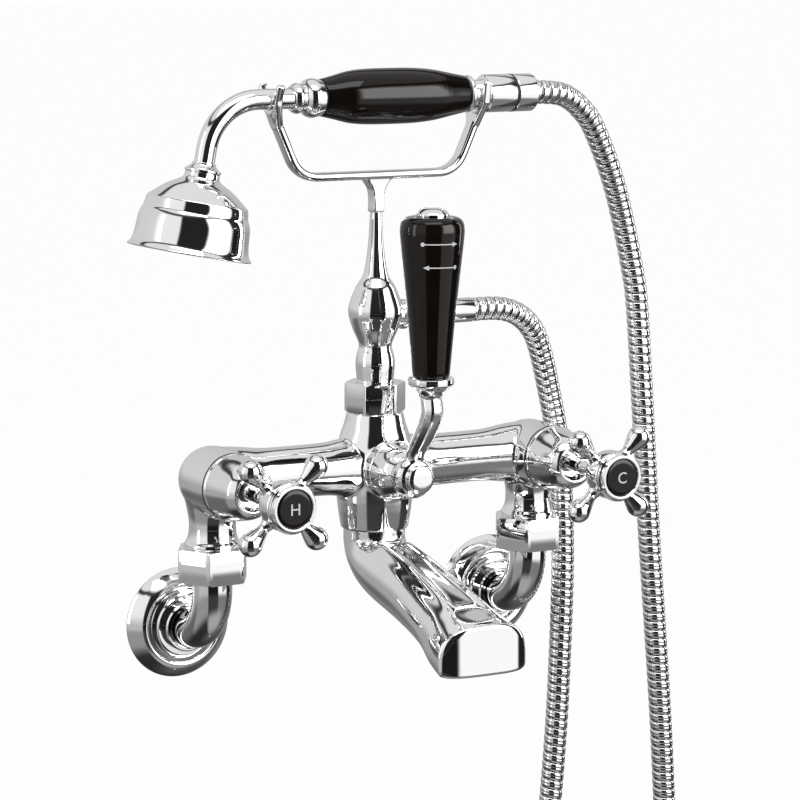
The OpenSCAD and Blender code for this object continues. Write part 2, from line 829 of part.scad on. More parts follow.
// A bored channel between two points
module channel(from, to, r) {
    run = to - from;
    translate(from)
        rotate([0, acos(run[2] / norm(run)), atan2(run[1], run[0])])
        cylinder(r = r, h = norm(run));
}

// Cast spout: turns forward under the body and widens to a hooded mouth that pours down
module spout() {
    top = body_foot_z;
    mouth_z = top - 40;
    outlet_at = spout_reach - 15;
    turn_z = top - 13;
    face_edge = 1.6;
    stations = [
        [axis_out, top, spout_d, spout_d, 90, 2, 2, 0, 0.5],
        [axis_out + 0.4, top - 7, spout_d, spout_d, 80, 2, 2, 0.2, 0.5],
        [axis_out + 5, top - 14, spout_d + 0.5, spout_d, 58, 2, 2, 0.7, 0.5],
        [axis_out + 18, top - 19.5, spout_d + 1, spout_d, 27, 2.2, 2.2, 1, 0.5],
        [axis_out + 48, top - 26, spout_d + 2, spout_d - 1, 13, 2.3, 2.4, 1, 0.5],
        [spout_reach - 30, top - 32.5, mouth_w - 10, mouth_h + 3, 12, 2.3, 2.8, 0.9, 0.58],
        [spout_reach - 12, top - 37.5, mouth_w - 3, mouth_h + 1.5, 8, 2.3, 4, 0.2, 0.68],
        [spout_reach - face_edge, mouth_z, mouth_w, mouth_h, 3, 2.3, 6, 0, 0.74],
        [spout_reach, mouth_z, mouth_w - 2 * face_edge, mouth_h - 2 * face_edge, 3, 2.3, 6, 0, 0.74]
    ];
    color(chrome) difference() {
        loft([for (s = smooth(stations, 3)) spout_ring(s)]);
        translate([0, -axis_out, turn_z]) cylinder(d = water_d, h = top - turn_z + over);
        channel([0, -axis_out, turn_z + 2], [0, -outlet_at, mouth_z + 2], water_d / 2 - 1.5);
        translate([0, -outlet_at, mouth_z - mouth_h]) cylinder(d = outlet_d, h = mouth_h + 5);
    }
}

// Hexagon nut that clamps the riser on the body
module riser_nut() {
    turn = -16;
    color(chrome) translate([0, -axis_out, 0]) difference() {
        translate([0, 0, body_top_z]) rotate([0, 0, turn]) hexagon(riser_af, riser_nut_h);
        translate([0, 0, body_top_z - over])
            cylinder(r = riser_spigot_r + fit_gap, h = riser_lip_z - body_top_z + over);
        translate([0, 0, riser_lip_z - over]) cylinder(d = riser_d + 2 * fit_gap, h = riser_nut_h);
    }
}

module riser_washer() {
    color(seal) translate([0, -axis_out, 0])
        tube(riser_spigot_r - fit_gap, water_d / 2, riser_washer_z, riser_foot_z);
}

// Turned riser: straight foot, waist, bulb with the hose outlet, and a long tapering neck
module riser() {
    up = riser_nut_top;
    side = smooth([
        [riser_d / 2 - 0.3, up + 1], [riser_d / 2 + 0.3, up + 9], [riser_d / 2 - 0.3, up + 14],
        [riser_waist_d / 2, up + 19],
        [riser_bulb_d / 2 - 1.6, up + outlet_up - 5], [riser_bulb_d / 2, up + outlet_up + 3.5],
        [riser_bulb_d / 2 - 3.4, up + outlet_up + 14], [riser_tip_d / 2 + 3, up + outlet_up + 21.5],
        [riser_tip_d / 2 + 0.8, cradle_z - 15], [riser_tip_d / 2, cradle_z]
    ]);
    color(chrome) difference() {
        union() {
            translate([0, -axis_out, 0]) lathe(concat(
                [
                    [0, riser_foot_z], [riser_spigot_r - fit_gap, riser_foot_z],
                    [riser_spigot_r - fit_gap, riser_lip_z], [riser_d / 2, riser_lip_z]
                ],
                side,
                [
                    [cradle_stud_r, cradle_z], [cradle_stud_r, cradle_z + cradle_stud_h],
                    [0, cradle_z + cradle_stud_h]
                ]
            ));
            along_x(outlet_z) cylinder(d = sleeve_d, h = stub_end_x);
        }
        translate([0, -axis_out, riser_foot_z - over])
            cylinder(r = riser_bore_r, h = outlet_z - riser_foot_z + over);
        along_x(outlet_z) cylinder(r = outlet_bore_r, h = stub_end_x + over);
    }
}

module hose_collar() {
    r = hose_collar_d / 2;
    edge = 0.7;
    color(chrome) along_x(outlet_z) lathe([
        [outlet_bore_r, stub_end_x], [r - edge, stub_end_x], [r, stub_end_x + edge],
        [r, sleeve_x - edge], [r - edge, sleeve_x], [outlet_bore_r, sleeve_x]
    ]);
}

module hose_sleeve() {
    color(chrome) along_x(outlet_z) tube(sleeve_d / 2, outlet_bore_r, sleeve_x, hose_start_x);
}

// A rectangle with rounded corners, as a short list of points
function rounded(width, height, r, steps = 2) = concat(
    arc(width / 2 - r, height / 2 - r, r, 0, 90, steps),
    arc(r - width / 2, height / 2 - r, r, 90, 180, steps),
    arc(r - width / 2, r - height / 2, r, 180, 270, steps),
    arc(width / 2 - r, r - height / 2, r, 270, 360, steps)
);

// Rings of a section carried along a flat path: x of the section lies across the path's plane
function carried(path, section) = [
    for (i = [0:len(path) - 1])
        let (along = nth(path, i + 1) - nth(path, i - 1), side = [-along[1], along[0]] / norm(along))
        [for (q = section) [path[i][0] + q[1] * side[0], path[i][1] + q[1] * side[1], q[0]]]
];

// One open fork, with a round seat for what lies in it
module fork(x, seat_r) {
    middle_r = seat_r + prong_t / 2;
    prong_half = 9.8;
    path = concat([[-prong_half, prong_up]], arc(0, 0, middle_r, 180, 360, 12), [[prong_half, prong_up]]);
    translate([x, -axis_out, handset_z]) rotate([90, 0, 90])
        loft(carried(path, rounded(fork_w, prong_t, 1)));
    fork_root(x, seat_r);
}

// Web that spreads from the end of an arm to both prongs of its fork
module fork_root(x, seat_r) {
    ease = 0.5;
    drop = seat_r + prong_t + root_h;
    lean_in = sign(x) * root_h / tan(arm_lean);
    ends = [[x, -seat_r / 2, 2 * (seat_r + prong_t) - ease], [x - lean_in, -drop, bar_depth - ease]];
    translate([0, -axis_out, handset_z]) difference() {
        loft([for (e = ends) [for (q = rounded(fork_w - ease, e[2], 1)) [e[0] + q[0], q[1], e[1]]]]);
        translate([x, 0, 0]) rotate([0, 90, 0])
            cylinder(r = seat_r + prong_t / 2, h = 3 * fork_w, center = true);
    }
}

// Half of the bar with the arm that leans out to its fork
module cradle_arm(seat_r) {
    lean = arm_lean;
    corner_r = 15;
    rise = handset_up - seat_r - prong_t / 2;
    corner_x = fork_x - corner_r * sin(lean) - (rise - corner_r * (1 - cos(lean))) / tan(lean);
    path = concat([[0, 0]], arc(corner_x, corner_r, corner_r, -90, lean - 90, 8), [[fork_x, rise]]);
    translate([0, -axis_out, bar_z]) rotate([90, 0, 0])
        loft(carried(path, rounded(bar_depth, bar_t, 1.6)));
}

// Stem that spreads into the bar
module cradle_stem() {
    half = stem_w / 2;
    spread = 7.5;
    bar_under = stem_h - bar_t / 2;
    side = smooth([
        [half, 0], [half, stem_h * 0.42], [half + 1, stem_h * 0.66], [spread, bar_under + 0.6]
    ]);
    translate([0, -axis_out, cradle_z]) rotate([90, 0, 0])
        linear_extrude(height = bar_depth - 1.2, center = true)
        polygon(concat(side, [for (p = reversed(side)) [-p[0], p[1]]]));
}

// Forked yoke that the handset lies in
module cradle() {
    left_seat_r = neck_pipe_r + free_gap;
    right_seat_r = tail_neck_d / 2 + free_gap;
    color(chrome) difference() {
        union() {
            cradle_stem();
            cradle_arm(right_seat_r);
            mirror([1, 0, 0]) cradle_arm(left_seat_r);
            fork(fork_x, right_seat_r);
            fork(-fork_x, left_seat_r);
        }
        translate([0, -axis_out, cradle_z - over])
            cylinder(r = cradle_stud_r + fit_gap, h = cradle_stud_h + fit_gap + over);
    }
}

// Route of the hose, from the outlet of the riser round a hanging loop to the handset
hose_route = [
    [hose_start_x, -axis_out, outlet_z], [66.4, -41, 154], [76, -40.5, 152.7], [84.5, -39, 149.2],
    [92, -37, 143.5], [98, -34.5, 136], [104, -31.5, 123], [110, -28.5, 106], [115, -27, 88],
    [118.5, -26, 68],
    [121, -25, 45], [122, -25, 10], [121, -25, -36], [119, -25, -80], [114, -25, -140], [106, -25, -200],
    [98, -25, -252], [94, -25, -292], [98, -25, -320], [112, -25, -340], [134, -25, -350],
    [158, -25, -348],
    [178, -25, -336], [191, -25, -316], [196, -25, -288], [195, -25, -240], [192, -25, -170],
    [186, -25, -80],
    [176, -25, 26], [170, -25, 100], [165.5, -25, 150], [161, -25.5, 172], [154.5, -27, 194],
    [147.5, -29.5, 212],
    [138.5, -32.5, 230], [128.5, -36, 245.5], [121.5, -38, 252.5], [114, -39.5, 258],
    [105.5, -40.5, 261.4],
    [97, -41, 262.5], [hose_end_x, -axis_out, handset_z]
];
hose_sides = 8;

// Rings of the hose in stretch i: a crest and a groove for each rib
function ribs_in(i) = max(1, round(norm(hose_route[i + 1] - hose_route[i]) / rib_pitch));
function hose_ring(i, t, r) =
    let (
        step = 0.01,
        here = on_curve(hose_route, i, t),
        ahead = on_curve(hose_route, i, t + step) - on_curve(hose_route, i, t - step),
        along = ahead / norm(ahead),
        square = cross(along, [0, 1, 0]),
        side = square / norm(square),
        back = cross(side, along)
    )
    [for (k = [0:hose_sides - 1]) let (a = 360 * k / hose_sides) here + r * (cos(a) * side + sin(a) * back)];

hose_stretches = len(hose_route) - 1;
hose_skin = concat(
    [hose_ring(0, 0, hose_d / 2)],
    [
        for (i = [0:hose_stretches - 1]) for (k = [0:2 * ribs_in(i) - 1])
            hose_ring(i, (k + 0.5) / (2 * ribs_in(i)), hose_d / 2 - (k % 2) * rib_depth)
    ],
    [hose_ring(hose_stretches - 1, 1, hose_d / 2)]
);
hose_lining = concat(
    [for (i = [0:hose_stretches - 1]) for (t = [0, 0.5]) hose_ring(i, t, hose_bore_d / 2)],
    [hose_ring(hose_stretches - 1, 1, hose_bore_d / 2)]
);

// Ribbed hose with its bore
module hose() {
    color(chrome) pipe_skin(concat(hose_skin, reversed(hose_lining)));
}

// Length of the hose and its least gap to itself, measured on points along the route
route_points = concat(
    [for (i = [0:hose_stretches - 1]) for (k = [0:3]) on_curve(hose_route, i, k / 4)],
    [hose_route[hose_stretches]]
);
function added(list, i = 0) = i < len(list) ? list[i] + added(list, i + 1) : 0;
route_steps = [for (i = [0:len(route_points) - 2]) norm(route_points[i + 1] - route_points[i])];
far_along = 24;
self_gaps = [
    for (i = [0:len(route_points) - 1 - far_along]) for (j = [i + far_along:len(route_points) - 1])
        norm(route_points[i] - route_points[j]) - hose_d
];
echo(hose_length = added(route_steps), hose_self_gap = min(self_gaps));

// Places a piece on the axis of the rose, with local +Z running down along it from the end of the bend
module on_rose_axis() {
    translate([
        -neck_out - neck_r * sin(neck_turn), -axis_out, handset_z - neck_r + neck_r * cos(neck_turn)
    ]) rotate([0, 180 + rose_tilt, 0]) children();
}

// Stations of the neck: a place on its centre line and the angle it has turned there
neck_stations = concat(
    [[neck_end_x, handset_z, 0]],
    [
        for (i = [0:12])
            let (turn = neck_turn * i / 12)
            [-neck_out - neck_r * sin(turn), handset_z - neck_r + neck_r * cos(turn), turn]
    ],
    [
        let (drop = neck_drop + neck_in_bell)
        [
            -neck_out - neck_r * sin(neck_turn) - drop * cos(neck_turn),
            handset_z - neck_r + neck_r * cos(neck_turn) - drop * sin(neck_turn),
            neck_turn
        ]
    ]
);

function neck_rings(r, sides = 32) = [
    for (s = neck_stations) [
        for (k = [0:sides - 1])
            let (a = 360 * k / sides)
            [s[0] - r * cos(a) * sin(s[2]), -axis_out + r * sin(a), s[1] + r * cos(a) * cos(s[2])]
    ]
];

// Bent pipe, from the tail fitting through the grip and down to the rose
module neck_pipe() {
    color(chrome) pipe_skin(concat(neck_rings(neck_pipe_r), reversed(neck_rings(neck_bore_d / 2))));
}

// Turned ferrule in front of the grip, with two beads
module front_ferrule() {
    bore_r = neck_pipe_r + fit_gap;
    small_r = 7.5;
    large_r = 9.65;
    waist_r = 6.6;
    color(chrome) along_x(handset_z) lathe(concat(
        [[bore_r, ferrule_x]],
        smooth([
            [waist_r - 0.6, ferrule_x], [small_r - 0.5, ferrule_x + 1.4], [small_r, ferrule_x + 3],
            [small_r - 0.6, ferrule_step_x - 1.4], [waist_r, ferrule_step_x - 0.3]
        ], 3),
        smooth([
            [waist_r + 0.4, ferrule_step_x + 0.3], [large_r - 0.9, ferrule_step_x + 1.8],
            [large_r, ferrule_step_x + 4.6], [large_r - 0.5, -grip_front - 1.6],
            [grip_end_d / 2 - 0.4, -grip_front]
        ], 3),
        [[bore_r, -grip_front]]
    ));
}

// Dark grip, swelling towards its middle
module handset_grip() {
    bore_r = neck_pipe_r + fit_gap;
    end_r = grip_end_d / 2;
    r = grip_d / 2;
    swell = r - end_r;
    color(dark) along_x(handset_z) lathe(concat(
        [[bore_r, -grip_front], [end_r - 0.8, -grip_front]],
        smooth([
            [end_r, -grip_front + 1], [end_r + swell * 0.36, -grip_front + grip_len * 0.1],
            [end_r + swell * 0.78, -grip_front + grip_len * 0.2],
            [end_r + swell * 0.96, -grip_front + grip_len * 0.31],
            [r, -grip_front + grip_len * 0.46], [end_r + swell * 0.96, -grip_front + grip_len * 0.63],
            [end_r + swell * 0.74, -grip_front + grip_len * 0.77],
            [end_r + swell * 0.3, -grip_front + grip_len * 0.9],
            [end_r, grip_rear_x - 1]
        ], 4),
        [[end_r - 0.8, grip_rear_x], [bore_r, grip_rear_x]]
    ));
}

module rear_ferrule() {
    r = grip_end_d / 2;
    edge = 0.7;
    color(chrome) along_x(handset_z) lathe([
        [neck_pipe_r + fit_gap, grip_rear_x], [r - edge, grip_rear_x], [r, grip_rear_x + edge],
        [r, tail_x - edge], [r - edge, tail_x], [neck_pipe_r + fit_gap, tail_x]
    ]);
}

// Tail of the handset: a neck that lies in the right fork, then the sleeve that the hose screws on
module tail_fitting() {
    r = tail_sleeve_d / 2;
    edge = 0.8;
    color(chrome) along_x(handset_z) lathe([
        [neck_pipe_r + fit_gap, tail_x], [tail_neck_d / 2, tail_x], [tail_neck_d / 2, tail_sleeve_x],
        [r - edge, tail_sleeve_x], [r, tail_sleeve_x + edge], [r, hose_nut_x],
        [neck_bore_d / 2, hose_nut_x], [neck_bore_d / 2, neck_end_x], [neck_pipe_r + fit_gap, neck_end_x]
    ]);
}

// Nut at the end of the hose, which reaches into it
module hose_nut() {
    r = tail_sleeve_d / 2;
    socket_r = hose_d / 2 + free_gap;
    floor_x = hose_end_x - fit_gap;
    chamfer = 1.8;
    groove = 0.6;
    color(chrome) along_x(handset_z) lathe([
        [hose_bore_d / 2, hose_nut_x], [r - groove, hose_nut_x], [r - groove, hose_nut_x + groove],
        [r, hose_nut_x + 2 * groove], [r, hose_nut_end - chamfer], [r - chamfer, hose_nut_end],
        [socket_r, hose_nut_end], [socket_r, floor_x], [hose_bore_d / 2, floor_x]
    ]);
}

module rose_collar() {
    bore_r = neck_pipe_r + fit_gap;
    r = 8.8;
    color(chrome) on_rose_axis() lathe(concat(
        [[bore_r, neck_drop - 5]],
        smooth([
            [bore_r + 0.6, neck_drop - 5], [bore_r + 1, neck_drop - 3.6], [r - 0.8, neck_drop - 2]
        ], 3),
        [[r, neck_drop - 1.6], [r, neck_drop - 0.5], [r - 0.5, neck_drop], [bore_r, neck_drop]]
    ));
}

// Outside of the bell, from the collar to the lip, as radius and distance down the axis
bell_r = bell_d / 2;
bell_shoulder = smooth([
    [8.4, neck_drop + 0.8], [9.6, neck_drop + 3.4], [16.5, neck_drop + 7.4],
    [bell_r - 5.8, neck_drop + 14]
], 4);
bell_skirt = smooth([
    [bell_r - 5.6, neck_drop + 14.8], [bell_r - 4.9, neck_drop + 19], [bell_r - 4.2, neck_drop + 20.4],
    [bell_r - 3.2, neck_drop + 24], [bell_r - 2.7, neck_drop + bell_h - 8],
    [bell_r - 1.8, neck_drop + bell_h - 3],
    [bell_r, neck_drop + bell_h - 0.6]
], 3);
plate_t = 1.8;
plate_at = neck_drop + bell_h - 4;
plate_r = bell_r - 1.8 - bell_wall - free_gap;

module rose_bell() {
    bore_r = neck_pipe_r + fit_gap;
    lip = neck_drop + bell_h;
    inside_shoulder = [
        for (p = bell_shoulder)
            if (p[0] - bell_wall > bore_r + 2) [p[0] - bell_wall, p[1] + bell_wall]
    ];
    inside_skirt = [for (p = bell_skirt) if (p[1] > neck_drop + 17) [p[0] - bell_wall, p[1]]];
    color(chrome) on_rose_axis() lathe(concat(
        [[bore_r, neck_drop], [8.4, neck_drop]],
        bell_shoulder, bell_skirt,
        [[bell_r - 0.4, lip], [bell_r - bell_wall, lip]],
        reversed(inside_skirt), reversed(inside_shoulder),
        [[bore_r, inside_shoulder[0][1]]]
    ));
}

// Spray plate with rings of holes
module rose_plate() {
    ring_step = 6.6;
    rings = floor((plate_r - 3) / ring_step);
    color(chrome) on_rose_axis() translate([0, 0, plate_at]) difference() {
        cylinder(r = plate_r, h = plate_t);
        for (ring = [1:rings]) for (k = [0:6 * ring - 1])
            rotate([0, 0, 60 * k / ring]) translate([ring * ring_step, 0, -over])
                cylinder(d = spray_d, h = plate_t + 2 * over);
    }
}

mixer_body();
spout();
wall_elbow(hot_x);  // hot_wall_elbow
wall_elbow(cold_x);  // cold_wall_elbow
wall_flange(hot_x);  // hot_wall_flange
wall_flange(cold_x);  // cold_wall_flange
union_nut(hot_x);  // hot_union_nut
union_nut(cold_x);  // cold_union_nut
union_washer(hot_x);  // hot_union_washer
union_washer(cold_x);  // cold_union_washer
bonnet(hot_x);  // hot_bonnet
bonnet(cold_x);  // cold_bonnet
fixed_disc(hot_x);  // hot_fixed_disc
fixed_disc(cold_x);  // cold_fixed_disc
moving_disc(hot_x);  // hot_moving_disc
moving_disc(cold_x);  // cold_moving_disc
spindle(hot_x);  // hot_spindle
spindle(cold_x);  // cold_spindle
crosshead(hot_x);  // hot_crosshead
crosshead(cold_x);  // cold_crosshead
bezel(hot_x);  // hot_bezel
bezel(cold_x);  // cold_bezel
index(hot_x);  // hot_index
index(cold_x);  // cold_index
diverter_bonnet();
diverter_spindle();
diverter_lever();
diverter_cap();
lever_collar();
lever_rod();
lever_grip();
lever_button();
riser_nut();
riser_washer();
riser();
hose_collar();
hose_sleeve();
cradle();
hose();
neck_pipe();
front_ferrule();
handset_grip();
rear_ferrule();
tail_fitting();
hose_nut();
rose_collar();
rose_bell();
rose_plate();
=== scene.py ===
"""Dresses the bath shower mixer: polished chrome, dark glazed grips, a ribbed hose and a plain studio."""

import json
import logging
import math
from collections.abc import Callable, Sequence
from dataclasses import dataclass, field
from enum import Enum
from typing import NamedTuple

import bpy
from mathutils import Matrix, Vector

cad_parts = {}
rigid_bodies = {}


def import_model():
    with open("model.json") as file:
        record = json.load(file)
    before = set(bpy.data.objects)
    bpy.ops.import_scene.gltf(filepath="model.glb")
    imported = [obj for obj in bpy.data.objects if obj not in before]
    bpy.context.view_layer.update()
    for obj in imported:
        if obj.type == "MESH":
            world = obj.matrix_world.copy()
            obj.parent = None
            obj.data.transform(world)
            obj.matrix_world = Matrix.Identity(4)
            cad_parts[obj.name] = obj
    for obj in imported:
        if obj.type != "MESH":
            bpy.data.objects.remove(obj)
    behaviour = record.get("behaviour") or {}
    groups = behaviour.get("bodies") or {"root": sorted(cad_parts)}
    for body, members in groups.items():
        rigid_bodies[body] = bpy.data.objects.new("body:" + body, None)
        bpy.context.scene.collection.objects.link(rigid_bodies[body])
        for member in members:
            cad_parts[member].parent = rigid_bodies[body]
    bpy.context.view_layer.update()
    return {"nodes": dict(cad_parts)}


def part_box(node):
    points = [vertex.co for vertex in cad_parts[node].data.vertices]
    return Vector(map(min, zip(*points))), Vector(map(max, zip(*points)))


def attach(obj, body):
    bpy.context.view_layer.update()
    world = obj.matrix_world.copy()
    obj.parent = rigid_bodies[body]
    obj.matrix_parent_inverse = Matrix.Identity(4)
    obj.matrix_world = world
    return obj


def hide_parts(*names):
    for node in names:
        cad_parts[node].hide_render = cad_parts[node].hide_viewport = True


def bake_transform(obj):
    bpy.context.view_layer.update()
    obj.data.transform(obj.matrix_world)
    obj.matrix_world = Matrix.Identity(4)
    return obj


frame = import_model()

LOG = logging.getLogger("mixer")
MM = 0.001
# Pixels across the photograph
IMAGE_SIZE = 800
# Distances in metres within which corners are one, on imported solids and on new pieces
WELD = 2e-6
FINE_WELD = 1e-7
# Widths of eased edges, and the angles in degrees from which an edge stays crisp
SOFT_EDGE = 0.2 * MM
WIDE_EDGE = 0.3 * MM
CREASE = 32.0
HEXAGON_CREASE = 25.0
CURVED_CREASE = 40.0
# The part of a noise's range that the mottle spreads out
NOISE_LOW, NOISE_HIGH = 0.3, 0.7
# Places of the colour sockets of a Mix node, which come after those for numbers and vectors
MIX_A, MIX_B, MIX_RESULT = 6, 7, 2


class Side(Enum):
    """The two supplies, each with its place along X in metres."""

    HOT = -0.09
    COLD = 0.09

    @property
    def word(self) -> str:
        """Name of the supply, as the nodes use it."""
        return self.name.lower()


class Body(Enum):
    """The rigid bodies that pieces ride on."""

    MIXER = "mixer"
    HOT = "hot_handle"
    COLD = "cold_handle"
    DIVERTER = "diverter"
    HANDSET = "handset"


# Helpers for modelling by hand


def select_only(piece: bpy.types.Object) -> None:
    """Makes one object the only selected and the active one.

    Args:
        piece: The object to select.
    """
    for other in bpy.context.view_layer.objects:
        other.select_set(False)
    piece.select_set(True)
    bpy.context.view_layer.objects.active = piece


def new_piece(name: str, points: list, edges: list, faces: list) -> bpy.types.Object:
    """Adds a mesh object to the scene.

    Args:
        name: Name of the piece.
        points: Corner places in metres.
        edges: Pairs of corner numbers.
        faces: Lists of corner numbers.

    Returns:
        The new object, selected and active.
    """
    mesh = bpy.data.meshes.new(name)
    mesh.from_pydata(points, edges, faces)
    piece = bpy.data.objects.new(name, mesh)
    bpy.context.scene.collection.objects.link(piece)
    select_only(piece)
    return piece


def apply_modifier(piece: bpy.types.Object, kind: str, **settings: object) -> None:
    """Adds one modifier to a piece, sets it and applies it.

    Args:
        piece: The object to change.
        kind: Blender's name for the modifier type.
        **settings: Values for the modifier's properties.
    """
    select_only(piece)
    modifier = piece.modifiers.new(kind.title(), kind)
    for key, value in settings.items():
        setattr(modifier, key, value)
    bpy.ops.object.modifier_apply(modifier=modifier.name)


def shade(piece: bpy.types.Object, degrees: float) -> None:
    """Shades a piece smooth, apart from edges sharper than an angle in degrees."""
    select_only(piece)
    bpy.ops.object.shade_smooth_by_angle(angle=math.radians(degrees))


def tidy_mesh(piece: bpy.types.Object, merge: float = FINE_WELD, recalculate: bool = True) -> None:
    """Merges doubled corners and points all faces outwards.

    Args:
        piece: The object to tidy.
        merge: Distance in metres within which corners are one.
        recalculate: Whether the face directions are worked out again.
    """
    select_only(piece)
    bpy.ops.object.mode_set(mode="EDIT")
    bpy.ops.mesh.select_all(action="SELECT")
    bpy.ops.mesh.remove_doubles(threshold=merge)
    if recalculate:
        bpy.ops.mesh.normals_make_consistent(inside=False)
    bpy.ops.object.mode_set(mode="OBJECT")


def merged_copy(node: str, name: str) -> bpy.types.Object:
    """Copies a node's solid as a closed mesh that can be finished.

    Args:
        node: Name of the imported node.
        name: Name of the new piece.

    Returns:
        The copy, with its corners merged.
    """
    mesh = frame["nodes"][node].data.copy()
    mesh.materials.clear()
    mesh.name = name
    piece = bpy.data.objects.new(name, mesh)
    bpy.context.scene.collection.objects.link(piece)
    select_only(piece)
    if mesh.has_custom_normals:
        bpy.ops.mesh.customdata_custom_splitnormals_clear()
    tidy_mesh(piece, WELD, recalculate=False)
    return piece


def revolve(name: str, profile: list, place: Matrix, steps: int = 96) -> bpy.types.Object:
    """Turns a profile round an axis, as on a lathe.

    Args:
        name: Name of the piece.
        profile: Radius and height of each point, in metres, as a closed outline or from axis to axis.
        place: Where the axis stands: local Z is the axis.
        steps: Faces round the piece.

    Returns:
        The turned piece, closed and facing outwards.
    """
    points = [(radius, 0.0, height) for radius, height in profile]
    edges = [(i, i + 1) for i in range(len(points) - 1)]
    if max(profile[0][0], profile[-1][0]) > 0:
        edges.append((len(points) - 1, 0))
    piece = new_piece(name, points, edges, [])
    bpy.ops.object.mode_set(mode="EDIT")
    bpy.ops.mesh.select_all(action="SELECT")
    bpy.ops.mesh.spin(steps=steps, angle=2 * math.pi, center=(0, 0, 0), axis=(0, 0, 1))
    bpy.ops.object.mode_set(mode="OBJECT")
    tidy_mesh(piece, WELD)
    piece.data.transform(place)
    return piece


def between(a: Vector, b: Vector, c: Vector, d: Vector, t: float) -> Vector:
    """The point at a share t, from 0 to 1, of the stretch from b to c, on a smooth curve."""
    return 0.5 * (2 * b + (c - a) * t + (2 * a - 5 * b + 4 * c - d) * t**2 + (3 * b - a - 3 * c + d) * t**3)


def smooth_through(points: list, steps: int) -> list:
    """A smooth curve through a short list of points.

    Args:
        points: The points, all of one length.
        steps: Points for each stretch.

    Returns:
        The points along the curve, as vectors.
    """
    knots = [Vector(p) for p in points]
    knots = [2 * knots[0] - knots[1]] + knots + [2 * knots[-1] - knots[-2]]
    curve = []
    for i in range(1, len(knots) - 2):
        curve += [between(*knots[i - 1 : i + 3], k / steps) for k in range(steps)]
    return curve + [knots[-2]]


def ring_faces(rows: int, count: int) -> list:
    """Faces between rings of corners that follow each other.

    Args:
        rows: Number of rings.
        count: Corners in each ring.

    Returns:
        The corner numbers of each face.
    """
    faces = []
    for here in range(0, (rows - 1) * count, count):
        there = here + count
        for k in range(count):
            after = (k + 1) % count
            faces.append((here + k, here + after, there + after, there + k))
    return faces


def quarter_turned(place: tuple, axis: str, way: int = 1) -> Matrix:
    """Stands a piece at a place, a quarter turn round one axis, to the one way or with -1 to the other."""
    return Matrix.Translation(place) @ Matrix.Rotation(way * math.pi / 2, 4, axis)


def direction(turn: float, rise: float) -> Vector:
    """The direction at a turn round the object and a rise, in radians: 0, 0 is straight in front of it."""
    return Vector((math.sin(turn) * math.cos(rise), -math.cos(turn) * math.cos(rise), math.sin(rise)))


def soft_step(value: float, low: float, high: float) -> float:
    """A soft rise from 0 at the low place to 1 at the high one."""
    share = min(1.0, max(0.0, (value - low) / (high - low)))
    return share * share * (3 - 2 * share)


# Finishes


@dataclass(frozen=True)
class NodeInk:
    """Adds and links shader nodes in one tree."""

    tree: bpy.types.NodeTree

    def feed(self, socket: bpy.types.NodeSocket, value: object) -> None:
        """Links an input to a socket, or sets it to a value.

        Args:
            socket: The input.
            value: A value, or the socket that feeds the input.
        """
        if isinstance(value, bpy.types.NodeSocket):
            self.tree.links.new(value, socket)
        else:
            socket.default_value = value

    def fill(self, node: bpy.types.Node, **inputs: object) -> bpy.types.Node:
        """Fills inputs of a node.

        Args:
            node: The node.
            **inputs: Values or sockets for inputs, with spaces in their names as underscores.

        Returns:
            The same node.
        """
        for key, value in inputs.items():
            self.feed(node.inputs[key.replace("_", " ")], value)
        return node

    def add(self, kind: str, **inputs: object) -> bpy.types.Node:
        """Adds a node of one of Blender's kinds and fills its inputs."""
        return self.fill(self.tree.nodes.new(kind), **inputs)

    def sum(self, operation: str, *terms: object) -> bpy.types.NodeSocket:
        """Adds a sum of one or more values.

        Args:
            operation: Blender's name for the operation.
            *terms: Numbers or sockets.

        Returns:
            The socket with the answer.
        """
        node = self.add("ShaderNodeMath")
        node.operation = operation
        for socket, term in zip(node.inputs, terms):
            self.feed(socket, term)
        return node.outputs[0]


def mottle_group() -> bpy.types.NodeTree:
    """The shared effect of all finishes: a value that drifts over the surface.

    Returns:
        The node group, made once.
    """
    name = "surface_mottle"
    if name in bpy.data.node_groups:
        return bpy.data.node_groups[name]
    group = bpy.data.node_groups.new(name, "ShaderNodeTree")
    for socket in ("Scale", "Low", "High"):
        group.interface.new_socket(socket, in_out="INPUT", socket_type="NodeSocketFloat")
    group.interface.new_socket("Value", in_out="OUTPUT", socket_type="NodeSocketFloat")
    ink = NodeInk(group)
    given = ink.add("NodeGroupInput")
    place = ink.add("ShaderNodeTexCoord")
    noise = ink.add(
        "ShaderNodeTexNoise", Vector=place.outputs["Object"], Scale=given.outputs["Scale"], Detail=3.0
    )
    spread = ink.add(
        "ShaderNodeMapRange", Value=noise.outputs["Fac"], From_Min=NOISE_LOW, From_Max=NOISE_HIGH,
        To_Min=given.outputs["Low"], To_Max=given.outputs["High"],
    )
    ink.add("NodeGroupOutput", Value=spread.outputs["Result"])
    return group


